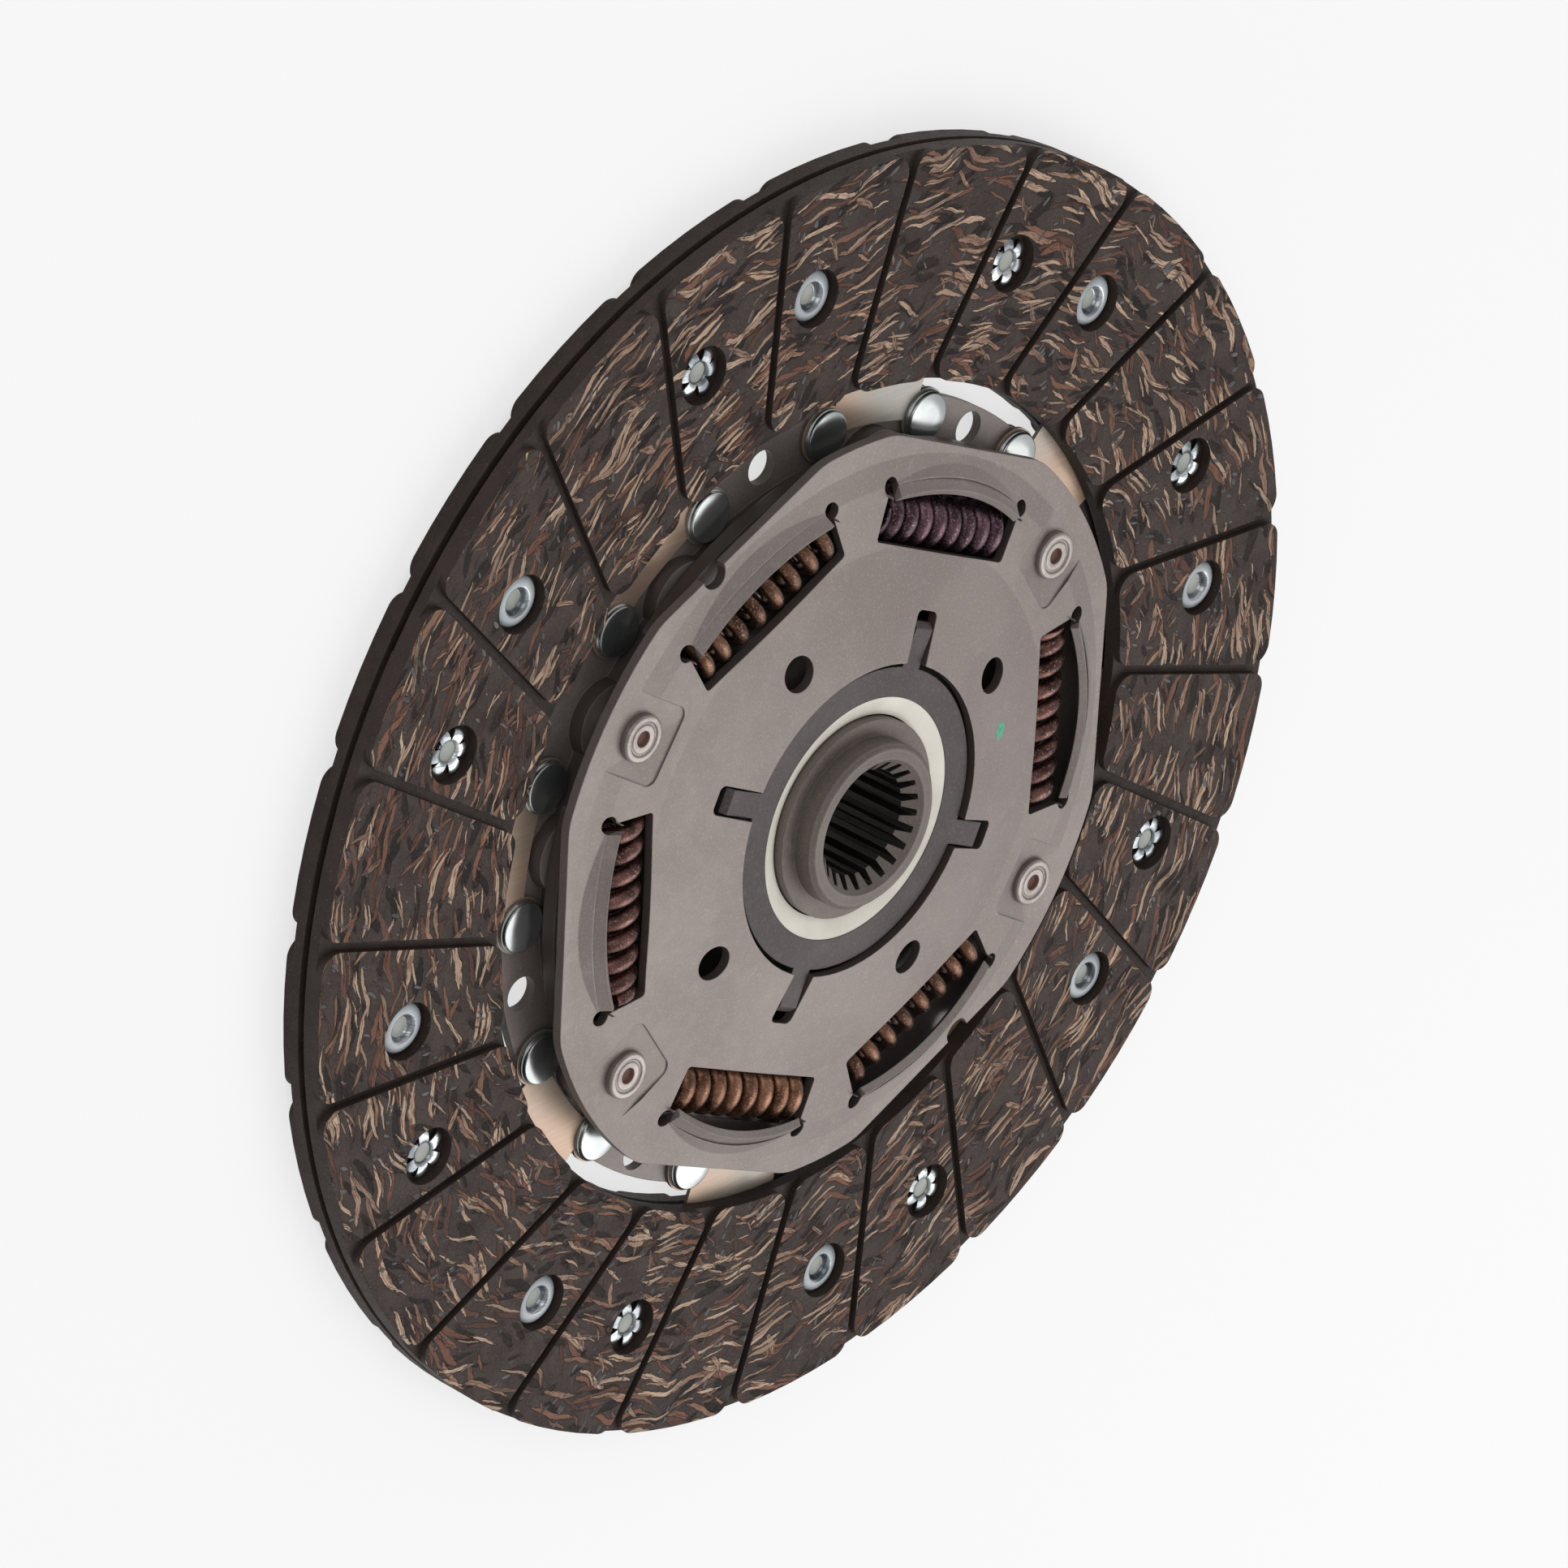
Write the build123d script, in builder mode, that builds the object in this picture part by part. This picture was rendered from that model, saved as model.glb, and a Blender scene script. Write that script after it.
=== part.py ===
from build123d import *
from math import cos, radians, sin, sqrt
import os

# Clutch disc with a spring damper, lying on its rear facing.
# Origin on the hub axis in the plane of the rear friction face, +Z towards the gearbox.
# +X runs through one of the two single damper springs. All sizes in millimetres.

os.makedirs("parts", exist_ok=True)

# Friction facings
outer_radius = 120.0
facing_inner_radius = 77.5
facing_thickness = 3.5
facing_gap = 1.4
groove_count = 24
groove_width = 1.8
groove_depth = 1.4
groove_offset = 23.9
groove_phase = 11.15
pad_corner_radius = 3.4

# Rivets that hold the facings to the cushion segments
facing_rivet_count = 8
facing_rivet_circle = 99.5
front_rivet_angle = 4.67
rear_rivet_angle = 20.42
counterbore_radius = 5.3
counterbore_floor = 1.2
facing_shank_radius = 2.6
facing_head_radius = 4.5
facing_head_height = 1.3
facing_rivet_bore = 2.1
tail_radius = 4.8
tail_height = 0.9
tail_petals = 8
petal_root_radius = 3.0
petal_gap = 1.0

# Cushion segments and the rivets of their feet
segment_count = 8
segment_phase = -10.29
segment_thickness = 0.7
paddle_inset = 1.5
paddle_inner_radius = 79.5
paddle_half_angle = 21.5
neck_half_angle = 8.4
foot_inner_radius = 68.9
foot_rivet_circle = 69.8
foot_rivet_half_angle = 10.55
ear_radius = 5.2
wave_flat_half_width = 11.0
wave_ramp = 6.0
foot_shank_radius = 2.9
foot_head_radius = 4.9
foot_head_height = 1.45

# Damper plates: cover plate on the gearbox side, drive plate behind it
plate_thickness = 1.8
drive_plate_radius = 73.7
raised_zone_radius = 64.2
lobe_circle = 61.0
lobe_radius = 7.5
lightening_hole_radius = 3.15
lightening_hole_circle = 69.5
lightening_hole_angles = (12.2, 57.2, 102.2, 192.2, 237.2, 282.2)
cover_radius = 70.5
cover_flat_depth = 3.2
cover_corner_radius = 12.0
cover_opening_radius = 29.15
rim_notch_circle = 67.4
rim_notch_radius = 2.6
rim_notch_angles = (-59.0, 121.0)
cover_hole_radius = 3.3
cover_hole_circle = 37.5
cover_hole_phase = 25.6
drive_plate_opening_radius = 23.9

# Dish of the plates: height of the outer skin above the middle of the damper
damper_middle = 9.0
rim_rise = 4.0
rim_flat_radius = 66.0
shoulder_radius = 61.5
shoulder_rise = 4.9
dish_radius = 50.0
dish_rise = 5.5
cover_cone_slope = 0.163
drive_flat_radius = 32.0
drive_flat_rise = 7.0

# Spring windows
spring_angles = (0.0, 65.4, 114.6, 180.0, 245.4, 294.6)
spring_circle = 53.0
spring_outer_radius = 5.65
window_half_length = 17.9
window_inner_distance = 48.5
relief_distance = 58.5
relief_half_width = 18.7
relief_radius = 1.6
window_corner_radius = 0.8
lip_edge = 62.2
lip_rise = 5.8
lip_slope = 0.675

# Spacer rivets between the plates
spacer_angles = (32.55, 147.45, 212.55, 327.45)
spacer_circle = 61.0
spacer_seat_radius = 7.4
spacer_seat_reach = 7.6
spacer_seat_corner_radius = 2.0
spacer_column_radius = 4.25
spacer_shank_radius = 3.0
spacer_head_radius = 4.4
spacer_head_height = 1.45
spacer_eye_radius = 1.3
spacer_eye_depth = 0.9

# Hub, flange and spline
flange_thickness = 2.8
flange_inset = 0.1
flange_tongue_half_width = 21.9
flange_web_radius = 53.0
flange_corner_radius = 1.2
flange_window_clearance = 0.3
hub_radius = 18.6
sleeve_radius = 15.5
hub_front_height = 21.2
shoulder_height = 17.0
hub_rear_shoulder_height = 2.6
hub_rear_height = 0.5
hub_chamfer = 0.8
spline_count = 23
spline_phase = 141.0
spline_major_radius = 11.9
spline_minor_radius = 9.85
spline_space_outer_width = 1.15
spline_space_inner_width = 1.85

# Friction and bearing rings
running_clearance = 0.3
seat_fit = 0.02
bearing_ring_outer_radius = 22.6
bearing_ring_rim_drop = 1.5
front_ring_top = 16.8
bearing_flange_overhang = 0.5
bearing_flange_bottom = 14.2
bearing_flange_top = 15.7
bearing_core_bottom = 13.6
finger_ring_outer_radius = 28.2
finger_ring_thickness = 1.2
finger_count = 4
finger_phase = 65.2
finger_half_width = 2.3
finger_reach = 35.3
finger_tip_reach = 36.4
finger_tip_drop = 2.2
slot_half_width = 2.7
slot_reach = 38.5
slot_corner_radius = 1.2
friction_ring_thickness = 1.6
friction_ring_outer_radius = 27.5
load_spring_inner_radius = 21.0
load_spring_thickness = 0.7
rear_flange_radius = 30.0
rear_flange_thickness = 1.8

# Levels worked out from the values above, counted from the rear friction face
segment_middle = facing_thickness + facing_gap / 2
disc_thickness = 2 * facing_thickness + facing_gap
wave_step = (facing_gap - segment_thickness) / 2
foot_bottom = segment_middle - segment_thickness / 2
foot_top = foot_bottom + segment_thickness
flange_bottom = damper_middle - flange_thickness / 2
flange_top = damper_middle + flange_thickness / 2
seat_top = damper_middle + rim_rise
seat_bottom = seat_top - plate_thickness
spring_half_length = window_half_length - running_clearance
segment_pitch = 360 / segment_count
paddle_outer_radius = outer_radius - paddle_inset
flange_radius = cover_radius - cover_flat_depth - flange_inset
bearing_flange_radius = friction_ring_outer_radius + bearing_flange_overhang
blank_radius = cover_radius + 2
cut_height = hub_front_height


def on_circle(radius, angle):
    """Point at a radius and an angle round the hub axis."""
    return (radius * cos(radians(angle)), radius * sin(radians(angle)))


def turned(angle):
    """Place for a form that is drawn along +X and turned round the hub axis."""
    return Location((0, 0, 0), (0, 0, angle))


def annular_sector(inner, outer, half_angle):
    """Sketch of a ring's sector about the +X direction."""
    with BuildSketch() as sector:
        with BuildLine():
            CenterArc((0, 0), outer, -half_angle, 2 * half_angle)
            Line(on_circle(outer, half_angle), on_circle(inner, half_angle))
            CenterArc((0, 0), inner, half_angle, -2 * half_angle)
            Line(on_circle(inner, -half_angle), on_circle(outer, -half_angle))
        make_face()
    return sector.sketch


# One pad of a facing, between two neighbouring grooves that run past the centre
def groove_side_point(radius, side, turn):
    """Point where the side of a groove crosses a circle, the groove turned by an angle."""
    shift = groove_offset + side * groove_width / 2
    along = sqrt(radius ** 2 - shift ** 2)
    return Vector(along, shift).rotate(Axis.Z, turn)


groove_pitch = 360 / groove_count
with BuildSketch() as pad:
    with BuildLine():
        Polyline(
            groove_side_point(facing_inner_radius - 10, 1, groove_phase),
            groove_side_point(outer_radius + 10, 1, groove_phase),
            groove_side_point(outer_radius + 10, -1, groove_phase + groove_pitch),
            groove_side_point(facing_inner_radius - 10, -1, groove_phase + groove_pitch),
            close=True,
        )
    make_face()
    Circle(outer_radius, mode=Mode.INTERSECT)
    Circle(facing_inner_radius, mode=Mode.SUBTRACT)
    fillet(pad.vertices(), pad_corner_radius)


# A facing is a ring with grooves and counterbored holes. Every rivet goes through both
# facings, so one half of the holes takes heads and the other half takes tails.
def facing(back_height, outward):
    with BuildPart() as ring:
        with BuildSketch(Plane.XY.offset(back_height)):
            Circle(outer_radius)
            Circle(facing_inner_radius, mode=Mode.SUBTRACT)
        extrude(amount=outward * (facing_thickness - groove_depth))
        with BuildSketch(Plane.XY.offset(back_height + outward * (facing_thickness - groove_depth))):
            with PolarLocations(0, groove_count):
                add(pad.sketch)
        extrude(amount=outward * groove_depth)
        with BuildSketch(Plane.XY.offset(back_height)):
            for angle in (front_rivet_angle, rear_rivet_angle):
                with PolarLocations(facing_rivet_circle, facing_rivet_count, start_angle=angle):
                    Circle(facing_shank_radius + seat_fit)
        extrude(amount=outward * counterbore_floor, mode=Mode.SUBTRACT)
        with BuildSketch(Plane.XY.offset(back_height + outward * counterbore_floor)):
            for angle in (front_rivet_angle, rear_rivet_angle):
                with PolarLocations(facing_rivet_circle, facing_rivet_count, start_angle=angle):
                    Circle(counterbore_radius)
        extrude(amount=outward * (facing_thickness - counterbore_floor), mode=Mode.SUBTRACT)
    return ring


front_facing = facing(facing_thickness + facing_gap, 1)
front_facing.part.label = "front_facing"
export_step(front_facing.part, "parts/front_facing.step")

rear_facing = facing(facing_thickness, -1)
rear_facing.part.label = "rear_facing"
export_step(rear_facing.part, "parts/rear_facing.step")

# Tubular rivet of the facings: chamfered head at height 0 in one counterbore, and a tail
# rolled back in petals on the floor of the other one
facing_grip = 2 * counterbore_floor + facing_gap
tail_edge_height = tail_height / 3
with BuildPart() as facing_rivet:
    with BuildSketch(Plane.XZ):
        with BuildLine():
            Polyline(
                (facing_rivet_bore, -facing_grip - tail_height),
                (petal_root_radius, -facing_grip - tail_height),
                (tail_radius, -facing_grip - tail_edge_height),
                (tail_radius, -facing_grip),
                (facing_shank_radius, -facing_grip),
                (facing_shank_radius, 0),
                (facing_head_radius, 0),
                (facing_head_radius, facing_head_height / 2),
                (facing_head_radius - 1, facing_head_height),
                (facing_rivet_bore, facing_head_height),
                close=True,
            )
        make_face()
    revolve(axis=Axis.Z)
    with BuildSketch(Plane.XY.offset(-facing_grip - tail_height)):
        with PolarLocations(0, tail_petals):
            Polygon(
                (petal_root_radius, 0),
                (tail_radius + petal_gap, -petal_gap),
                (tail_radius + petal_gap, petal_gap),
                align=None,
            )
    extrude(amount=tail_height, mode=Mode.SUBTRACT)

front_head_seat = facing_thickness + facing_gap + counterbore_floor
with BuildPart() as front_facing_rivets:
    with Locations((0, 0, front_head_seat)):
        with PolarLocations(facing_rivet_circle, facing_rivet_count, start_angle=front_rivet_angle):
            add(facing_rivet.part)
front_facing_rivets.part.label = "front_facing_rivets"
export_step(front_facing_rivets.part, "parts/front_facing_rivets.step")

rear_head_seat = facing_thickness - counterbore_floor
with BuildPart() as rear_facing_rivets:
    with Locations((0, 0, rear_head_seat)):
        with PolarLocations(facing_rivet_circle, facing_rivet_count, start_angle=rear_rivet_angle):
            add(mirror(facing_rivet.part, about=Plane.XY, mode=Mode.PRIVATE))
rear_facing_rivets.part.label = "rear_facing_rivets"
export_step(rear_facing_rivets.part, "parts/rear_facing_rivets.step")

# Cushion segment: a thin spring leaf whose paddle waves from one facing to the other
wave_heights = (-wave_step, -wave_step, 0, 0, wave_step, wave_step)
wave_places = (
    -outer_radius,
    -wave_flat_half_width - wave_ramp,
    -wave_flat_half_width,
    wave_flat_half_width,
    wave_flat_half_width + wave_ramp,
    outer_radius,
)
wave_line = list(zip(wave_places, wave_heights))
with BuildPart() as segment_blank:
    with BuildSketch(Plane.YZ):
        with BuildLine():
            Polyline(
                *[(place, foot_bottom + height) for place, height in wave_line],
                *[(place, foot_top + height) for place, height in reversed(wave_line)],
                close=True,
            )
        make_face()
    extrude(amount=outer_radius)
    with BuildSketch():
        add(annular_sector(paddle_inner_radius, paddle_outer_radius, paddle_half_angle))
    extrude(amount=disc_thickness, mode=Mode.INTERSECT)
    with BuildSketch(Plane.XY.offset(foot_bottom)):
        add(annular_sector(foot_inner_radius, paddle_inner_radius + 1, neck_half_angle))
        add(annular_sector(foot_inner_radius, foot_rivet_circle + ear_radius - 1, foot_rivet_half_angle))
        with Locations(
            on_circle(foot_rivet_circle, foot_rivet_half_angle),
            on_circle(foot_rivet_circle, -foot_rivet_half_angle),
        ):
            Circle(ear_radius)
    extrude(amount=segment_thickness)
    with BuildSketch():
        with Locations(
            on_circle(foot_rivet_circle, foot_rivet_half_angle),
            on_circle(foot_rivet_circle, -foot_rivet_half_angle),
        ):
            Circle(foot_shank_radius + seat_fit)
        with Locations(
            on_circle(facing_rivet_circle, front_rivet_angle - segment_phase),
            on_circle(facing_rivet_circle, rear_rivet_angle - segment_phase - segment_pitch),
        ):
            Circle(facing_shank_radius + seat_fit)
    extrude(amount=disc_thickness, mode=Mode.SUBTRACT)

for index in range(segment_count):
    with BuildPart() as cushion_segment:
        with Locations(turned(segment_phase + index * segment_pitch)):
            add(segment_blank.part)
    cushion_segment.part.label = f"cushion_segment_{index + 1}"
    export_step(cushion_segment.part, f"parts/cushion_segment_{index + 1}.step")

# Rivets that hold each segment's foot on the drive plate
foot_rivet_angles = [
    segment_phase + index * segment_pitch + side * foot_rivet_half_angle
    for index in range(segment_count)
    for side in (-1, 1)
]
foot_rivet_places = [on_circle(foot_rivet_circle, angle) for angle in foot_rivet_angles]
with BuildPart() as segment_rivets:
    with BuildSketch(Plane.XY.offset(foot_bottom - plate_thickness - foot_head_height)):
        with Locations(*foot_rivet_places):
            Circle(foot_head_radius)
    extrude(amount=foot_head_height)
    with BuildSketch(Plane.XY.offset(foot_bottom - plate_thickness)):
        with Locations(*foot_rivet_places):
            Circle(foot_shank_radius)
    extrude(amount=plate_thickness + segment_thickness)
    with BuildSketch(Plane.XY.offset(foot_top)):
        with Locations(*foot_rivet_places):
            Circle(foot_head_radius)
    extrude(amount=foot_head_height)
segment_rivets.part.label = "segment_rivets"
export_step(segment_rivets.part, "parts/segment_rivets.step")

# Plan of one spring window, its outer side bowed out to the lip's edge
def window_plan():
    with BuildSketch() as window:
        with BuildLine():
            Polyline(
                (relief_distance, -relief_half_width),
                (window_inner_distance, -window_half_length),
                (window_inner_distance, window_half_length),
                (relief_distance, relief_half_width),
            )
            ThreePointArc(
                (relief_distance, relief_half_width),
                (lip_edge, 0),
                (relief_distance, -relief_half_width),
            )
        make_face()
        fillet(window.vertices().group_by(Axis.X)[0], window_corner_radius)
        with Locations((relief_distance, -relief_half_width), (relief_distance, relief_half_width)):
            Circle(relief_radius)
    return window.sketch


# Height of a plate's outer skin over the middle plane of the damper
def cover_line(opening):
    return (
        (blank_radius, rim_rise),
        (rim_flat_radius, rim_rise),
        (shoulder_radius, shoulder_rise),
        (dish_radius, dish_rise),
        (opening, dish_rise + (dish_radius - opening) * cover_cone_slope),
    )


def drive_line(opening):
    return (
        (blank_radius, rim_rise),
        (rim_flat_radius, rim_rise),
        (shoulder_radius, shoulder_rise),
        (dish_radius, dish_rise),
        (drive_flat_radius, drive_flat_rise),
        (opening, drive_flat_rise),
    )


# Lip over a spring: a vault that rises from the plate to the window's outer edge
lip_start = relief_distance - 2
lip_crown = lip_rise + (lip_edge - lip_start) * lip_slope
lip_end = shoulder_rise + (relief_distance - lip_start) * lip_slope
lip_reach = lip_edge + (lip_rise - rim_rise) / lip_slope + 0.2
lip_length = (lip_reach - lip_start) * sqrt(1 + lip_slope ** 2)
lip_direction = (1, 0, -lip_slope)


def vault(drop):
    """Arched face across the spring window, from a dropped arch down to the damper's middle."""
    with BuildSketch(Plane.YZ.offset(lip_start)) as face:
        with BuildLine():
            arch = ThreePointArc(
                (-relief_half_width, lip_end - drop),
                (0, lip_crown - drop),
                (relief_half_width, lip_end - drop),
            )
            Polyline(arch @ 1, (relief_half_width, 0), (-relief_half_width, 0), arch @ 0)
        make_face()
    return face.sketch


# Flat seats of the spacer rivets, pressed level with the rim
with BuildSketch() as spacer_seats:
    with Locations(*[turned(angle) * Pos(spacer_circle - spacer_seat_reach, 0) for angle in spacer_angles]):
        Rectangle(spacer_circle, 2 * spacer_seat_radius, align=(Align.MIN, Align.CENTER))
    inner_corners = [
        corner for corner in spacer_seats.vertices() if Vector(corner.X, corner.Y).length < spacer_circle
    ]
    fillet(inner_corners, spacer_seat_corner_radius)
    Circle(blank_radius, mode=Mode.INTERSECT)


# A pressed damper shell, drawn for the gearbox side with the damper's middle at height 0
def damper_shell(outline, skin_line):
    underside = [(radius, height - plate_thickness) for radius, height in skin_line]
    mid_skin = [(radius, height - plate_thickness / 2) for radius, height in skin_line]
    with BuildPart() as lip:
        extrude(vault(0), amount=lip_length, dir=lip_direction)
        with BuildSketch(Plane.XZ):
            with BuildLine():
                Polyline(*mid_skin[:4], (dish_radius, cut_height), (blank_radius, cut_height), close=True)
            make_face()
        revolve(axis=Axis.Z, mode=Mode.INTERSECT)
    with BuildPart() as under_lip:
        extrude(vault(plate_thickness), amount=lip_length, dir=lip_direction)
    with BuildPart() as shell:
        with BuildSketch(Plane.XZ):
            with BuildLine():
                Polyline(*skin_line, *reversed(underside), close=True)
            make_face()
        revolve(axis=Axis.Z)
        for angle in spring_angles:
            with Locations(turned(angle)):
                add(lip.part)
                add(under_lip.part, mode=Mode.SUBTRACT)
        with BuildSketch(Plane.XY.offset(rim_rise - plate_thickness)):
            add(spacer_seats.sketch)
        extrude(amount=plate_thickness)
        with BuildSketch(Plane.XY.offset(rim_rise)):
            add(spacer_seats.sketch)
        extrude(amount=cut_height, mode=Mode.SUBTRACT)
        with BuildSketch():
            add(outline)
        extrude(amount=cut_height, mode=Mode.INTERSECT)
        with BuildSketch():
            with Locations(*[turned(angle) for angle in spring_angles]):
                add(window_plan())
            with Locations(*[on_circle(spacer_circle, angle) for angle in spacer_angles]):
                Circle(spacer_shank_radius + seat_fit)
        extrude(amount=cut_height, mode=Mode.SUBTRACT)
    return shell.part


# Cover plate: dished shell with a flat cut over each spring, finger slots and four holes
with BuildSketch() as cover_outline:
    Circle(cover_radius)
    with Locations(*[turned(angle) * Pos(cover_radius - cover_flat_depth, 0) for angle in spring_angles]):
        Rectangle(10, cover_radius, align=(Align.MIN, Align.CENTER), mode=Mode.SUBTRACT)
    fillet(cover_outline.vertices(), cover_corner_radius)
    with Locations(*[on_circle(rim_notch_circle, angle) for angle in rim_notch_angles]):
        Circle(rim_notch_radius, mode=Mode.SUBTRACT)
    Circle(cover_opening_radius, mode=Mode.SUBTRACT)

with BuildSketch() as finger_slot:
    Rectangle(slot_reach, 2 * slot_half_width, align=(Align.MIN, Align.CENTER))
    fillet(finger_slot.vertices().group_by(Axis.X)[-1], slot_corner_radius)

with BuildPart() as cover_plate:
    with Locations((0, 0, damper_middle)):
        add(damper_shell(cover_outline.sketch, cover_line(cover_opening_radius)))
    with BuildSketch():
        with PolarLocations(0, finger_count, start_angle=finger_phase):
            add(finger_slot.sketch)
        with PolarLocations(cover_hole_circle, finger_count, start_angle=cover_hole_phase):
            Circle(cover_hole_radius)
    extrude(amount=hub_front_height, mode=Mode.SUBTRACT)
cover_plate.part.label = "cover_plate"
export_step(cover_plate.part, "parts/cover_plate.step")

# Drive plate: flat rim that carries the segments, and a raised zone with round lobes
segment_angles = [segment_phase + index * segment_pitch for index in range(segment_count)]
with BuildSketch() as raised_outline:
    Circle(raised_zone_radius)
    with Locations(*[on_circle(lobe_circle, angle) for angle in segment_angles]):
        Circle(lobe_radius)
    with Locations(*[on_circle(spacer_circle, angle) for angle in spacer_angles]):
        Circle(spacer_seat_radius)

with BuildSketch() as raised_ring:
    add(raised_outline.sketch)
    Circle(drive_plate_opening_radius, mode=Mode.SUBTRACT)

with BuildSketch() as raised_wall:
    add(raised_outline.sketch)
    offset(raised_outline.sketch, amount=-plate_thickness, mode=Mode.SUBTRACT)

rear_rim_bottom = foot_bottom - plate_thickness
rear_shell = damper_shell(raised_ring.sketch, drive_line(drive_plate_opening_radius))
with BuildPart() as drive_plate:
    with Locations((0, 0, damper_middle)):
        add(mirror(rear_shell, about=Plane.XY, mode=Mode.PRIVATE))
    with BuildSketch(Plane.XY.offset(rear_rim_bottom)):
        Circle(drive_plate_radius)
        add(raised_outline.sketch, mode=Mode.SUBTRACT)
        with Locations(*foot_rivet_places):
            Circle(foot_shank_radius + seat_fit, mode=Mode.SUBTRACT)
        with Locations(*[on_circle(lightening_hole_circle, angle) for angle in lightening_hole_angles]):
            Circle(lightening_hole_radius, mode=Mode.SUBTRACT)
    extrude(amount=plate_thickness)
    with BuildSketch(Plane.XY.offset(rear_rim_bottom)):
        add(raised_wall.sketch)
    extrude(amount=damper_middle - rim_rise - rear_rim_bottom + plate_thickness / 2)
drive_plate.part.label = "drive_plate"
export_step(drive_plate.part, "parts/drive_plate.step")

# Spacer rivets: a stout column between the plates with a head outside each one
rear_seat_top = 2 * damper_middle - seat_bottom
rear_seat_bottom = 2 * damper_middle - seat_top
with BuildPart() as spacer_rivet:
    with BuildSketch(Plane.XZ):
        with BuildLine():
            Polyline(
                (0, rear_seat_bottom - spacer_head_height),
                (spacer_head_radius, rear_seat_bottom - spacer_head_height),
                (spacer_head_radius, rear_seat_bottom),
                (spacer_shank_radius, rear_seat_bottom),
                (spacer_shank_radius, rear_seat_top),
                (spacer_column_radius, rear_seat_top),
                (spacer_column_radius, seat_bottom),
                (spacer_shank_radius, seat_bottom),
                (spacer_shank_radius, seat_top),
                (spacer_head_radius, seat_top),
                (spacer_head_radius, seat_top + spacer_head_height - 0.4),
                (spacer_head_radius - 0.4, seat_top + spacer_head_height),
                (spacer_eye_radius, seat_top + spacer_head_height),
                (spacer_eye_radius, seat_top + spacer_head_height - spacer_eye_depth),
                (0, seat_top + spacer_head_height - spacer_eye_depth),
                close=True,
            )
        make_face()
    revolve(axis=Axis.Z)

with BuildPart() as spacer_rivets:
    with Locations(*[on_circle(spacer_circle, angle) for angle in spacer_angles]):
        add(spacer_rivet.part)
spacer_rivets.part.label = "spacer_rivets"
export_step(spacer_rivets.part, "parts/spacer_rivets.step")

# Hub flange: straight-sided tongues round the springs, joined between paired springs.
# The gaps between the tongues leave the spacer rivets room to swing.
pair_half_angle = (spring_angles[2] - spring_angles[1]) / 2
window_clear_radius = spring_outer_radius + flange_window_clearance
with BuildPart() as hub_flange:
    with BuildSketch(Plane.XY.offset(flange_bottom)) as flange_outline:
        with Locations(*[turned(angle) for angle in spring_angles]):
            Rectangle(outer_radius, 2 * flange_tongue_half_width, align=(Align.MIN, Align.CENTER))
        with Locations(turned(90), turned(270)):
            add(annular_sector(flange_web_radius - 10, outer_radius, pair_half_angle))
        Circle(flange_radius, mode=Mode.INTERSECT)
        rim_corners = [
            corner
            for corner in flange_outline.vertices()
            if Vector(corner.X, corner.Y).length > flange_radius - flange_corner_radius
        ]
        fillet(rim_corners, flange_corner_radius)
        Circle(flange_web_radius)
        with Locations(*[turned(angle) for angle in spring_angles]):
            with Locations((spring_circle, 0)):
                Rectangle(2 * window_clear_radius, 2 * window_half_length, mode=Mode.SUBTRACT)
        Circle(hub_radius + seat_fit, mode=Mode.SUBTRACT)
    extrude(amount=flange_thickness)
hub_flange.part.label = "hub_flange"
export_step(hub_flange.part, "parts/hub_flange.step")

# Splined hub
with BuildPart() as hub:
    with BuildSketch(Plane.XZ):
        with BuildLine():
            Polyline(
                (spline_major_radius + hub_chamfer, hub_rear_height),
                (sleeve_radius - hub_chamfer, hub_rear_height),
                (sleeve_radius, hub_rear_height + hub_chamfer),
                (sleeve_radius, hub_rear_shoulder_height),
                (hub_radius, hub_rear_shoulder_height),
                (hub_radius, shoulder_height),
                (sleeve_radius, shoulder_height),
                (sleeve_radius, hub_front_height - hub_chamfer),
                (sleeve_radius - hub_chamfer, hub_front_height),
                (spline_major_radius + hub_chamfer, hub_front_height),
                (spline_minor_radius, hub_front_height - hub_chamfer - spline_major_radius + spline_minor_radius),
                (spline_minor_radius, hub_rear_height + hub_chamfer + spline_major_radius - spline_minor_radius),
                close=True,
            )
        make_face()
    revolve(axis=Axis.Z)
    with BuildSketch():
        with PolarLocations(0, spline_count, start_angle=spline_phase):
            Polygon(
                (spline_minor_radius - 0.5, -spline_space_inner_width / 2),
                (spline_major_radius, -spline_space_outer_width / 2),
                (spline_major_radius, spline_space_outer_width / 2),
                (spline_minor_radius - 0.5, spline_space_inner_width / 2),
                align=None,
            )
    extrude(amount=hub_front_height, mode=Mode.SUBTRACT)
hub.part.label = "hub"
export_step(hub.part, "parts/hub.step")

# Rings round the hub, all drawn as profiles in the XZ plane
ring_bore = hub_radius + running_clearance


def revolved_ring(name, *profile):
    with BuildPart() as ring:
        with BuildSketch(Plane.XZ):
            with BuildLine():
                Polyline(*profile, close=True)
            make_face()
        revolve(axis=Axis.Z)
    ring.part.label = name
    export_step(ring.part, f"parts/{name}.step")


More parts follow.
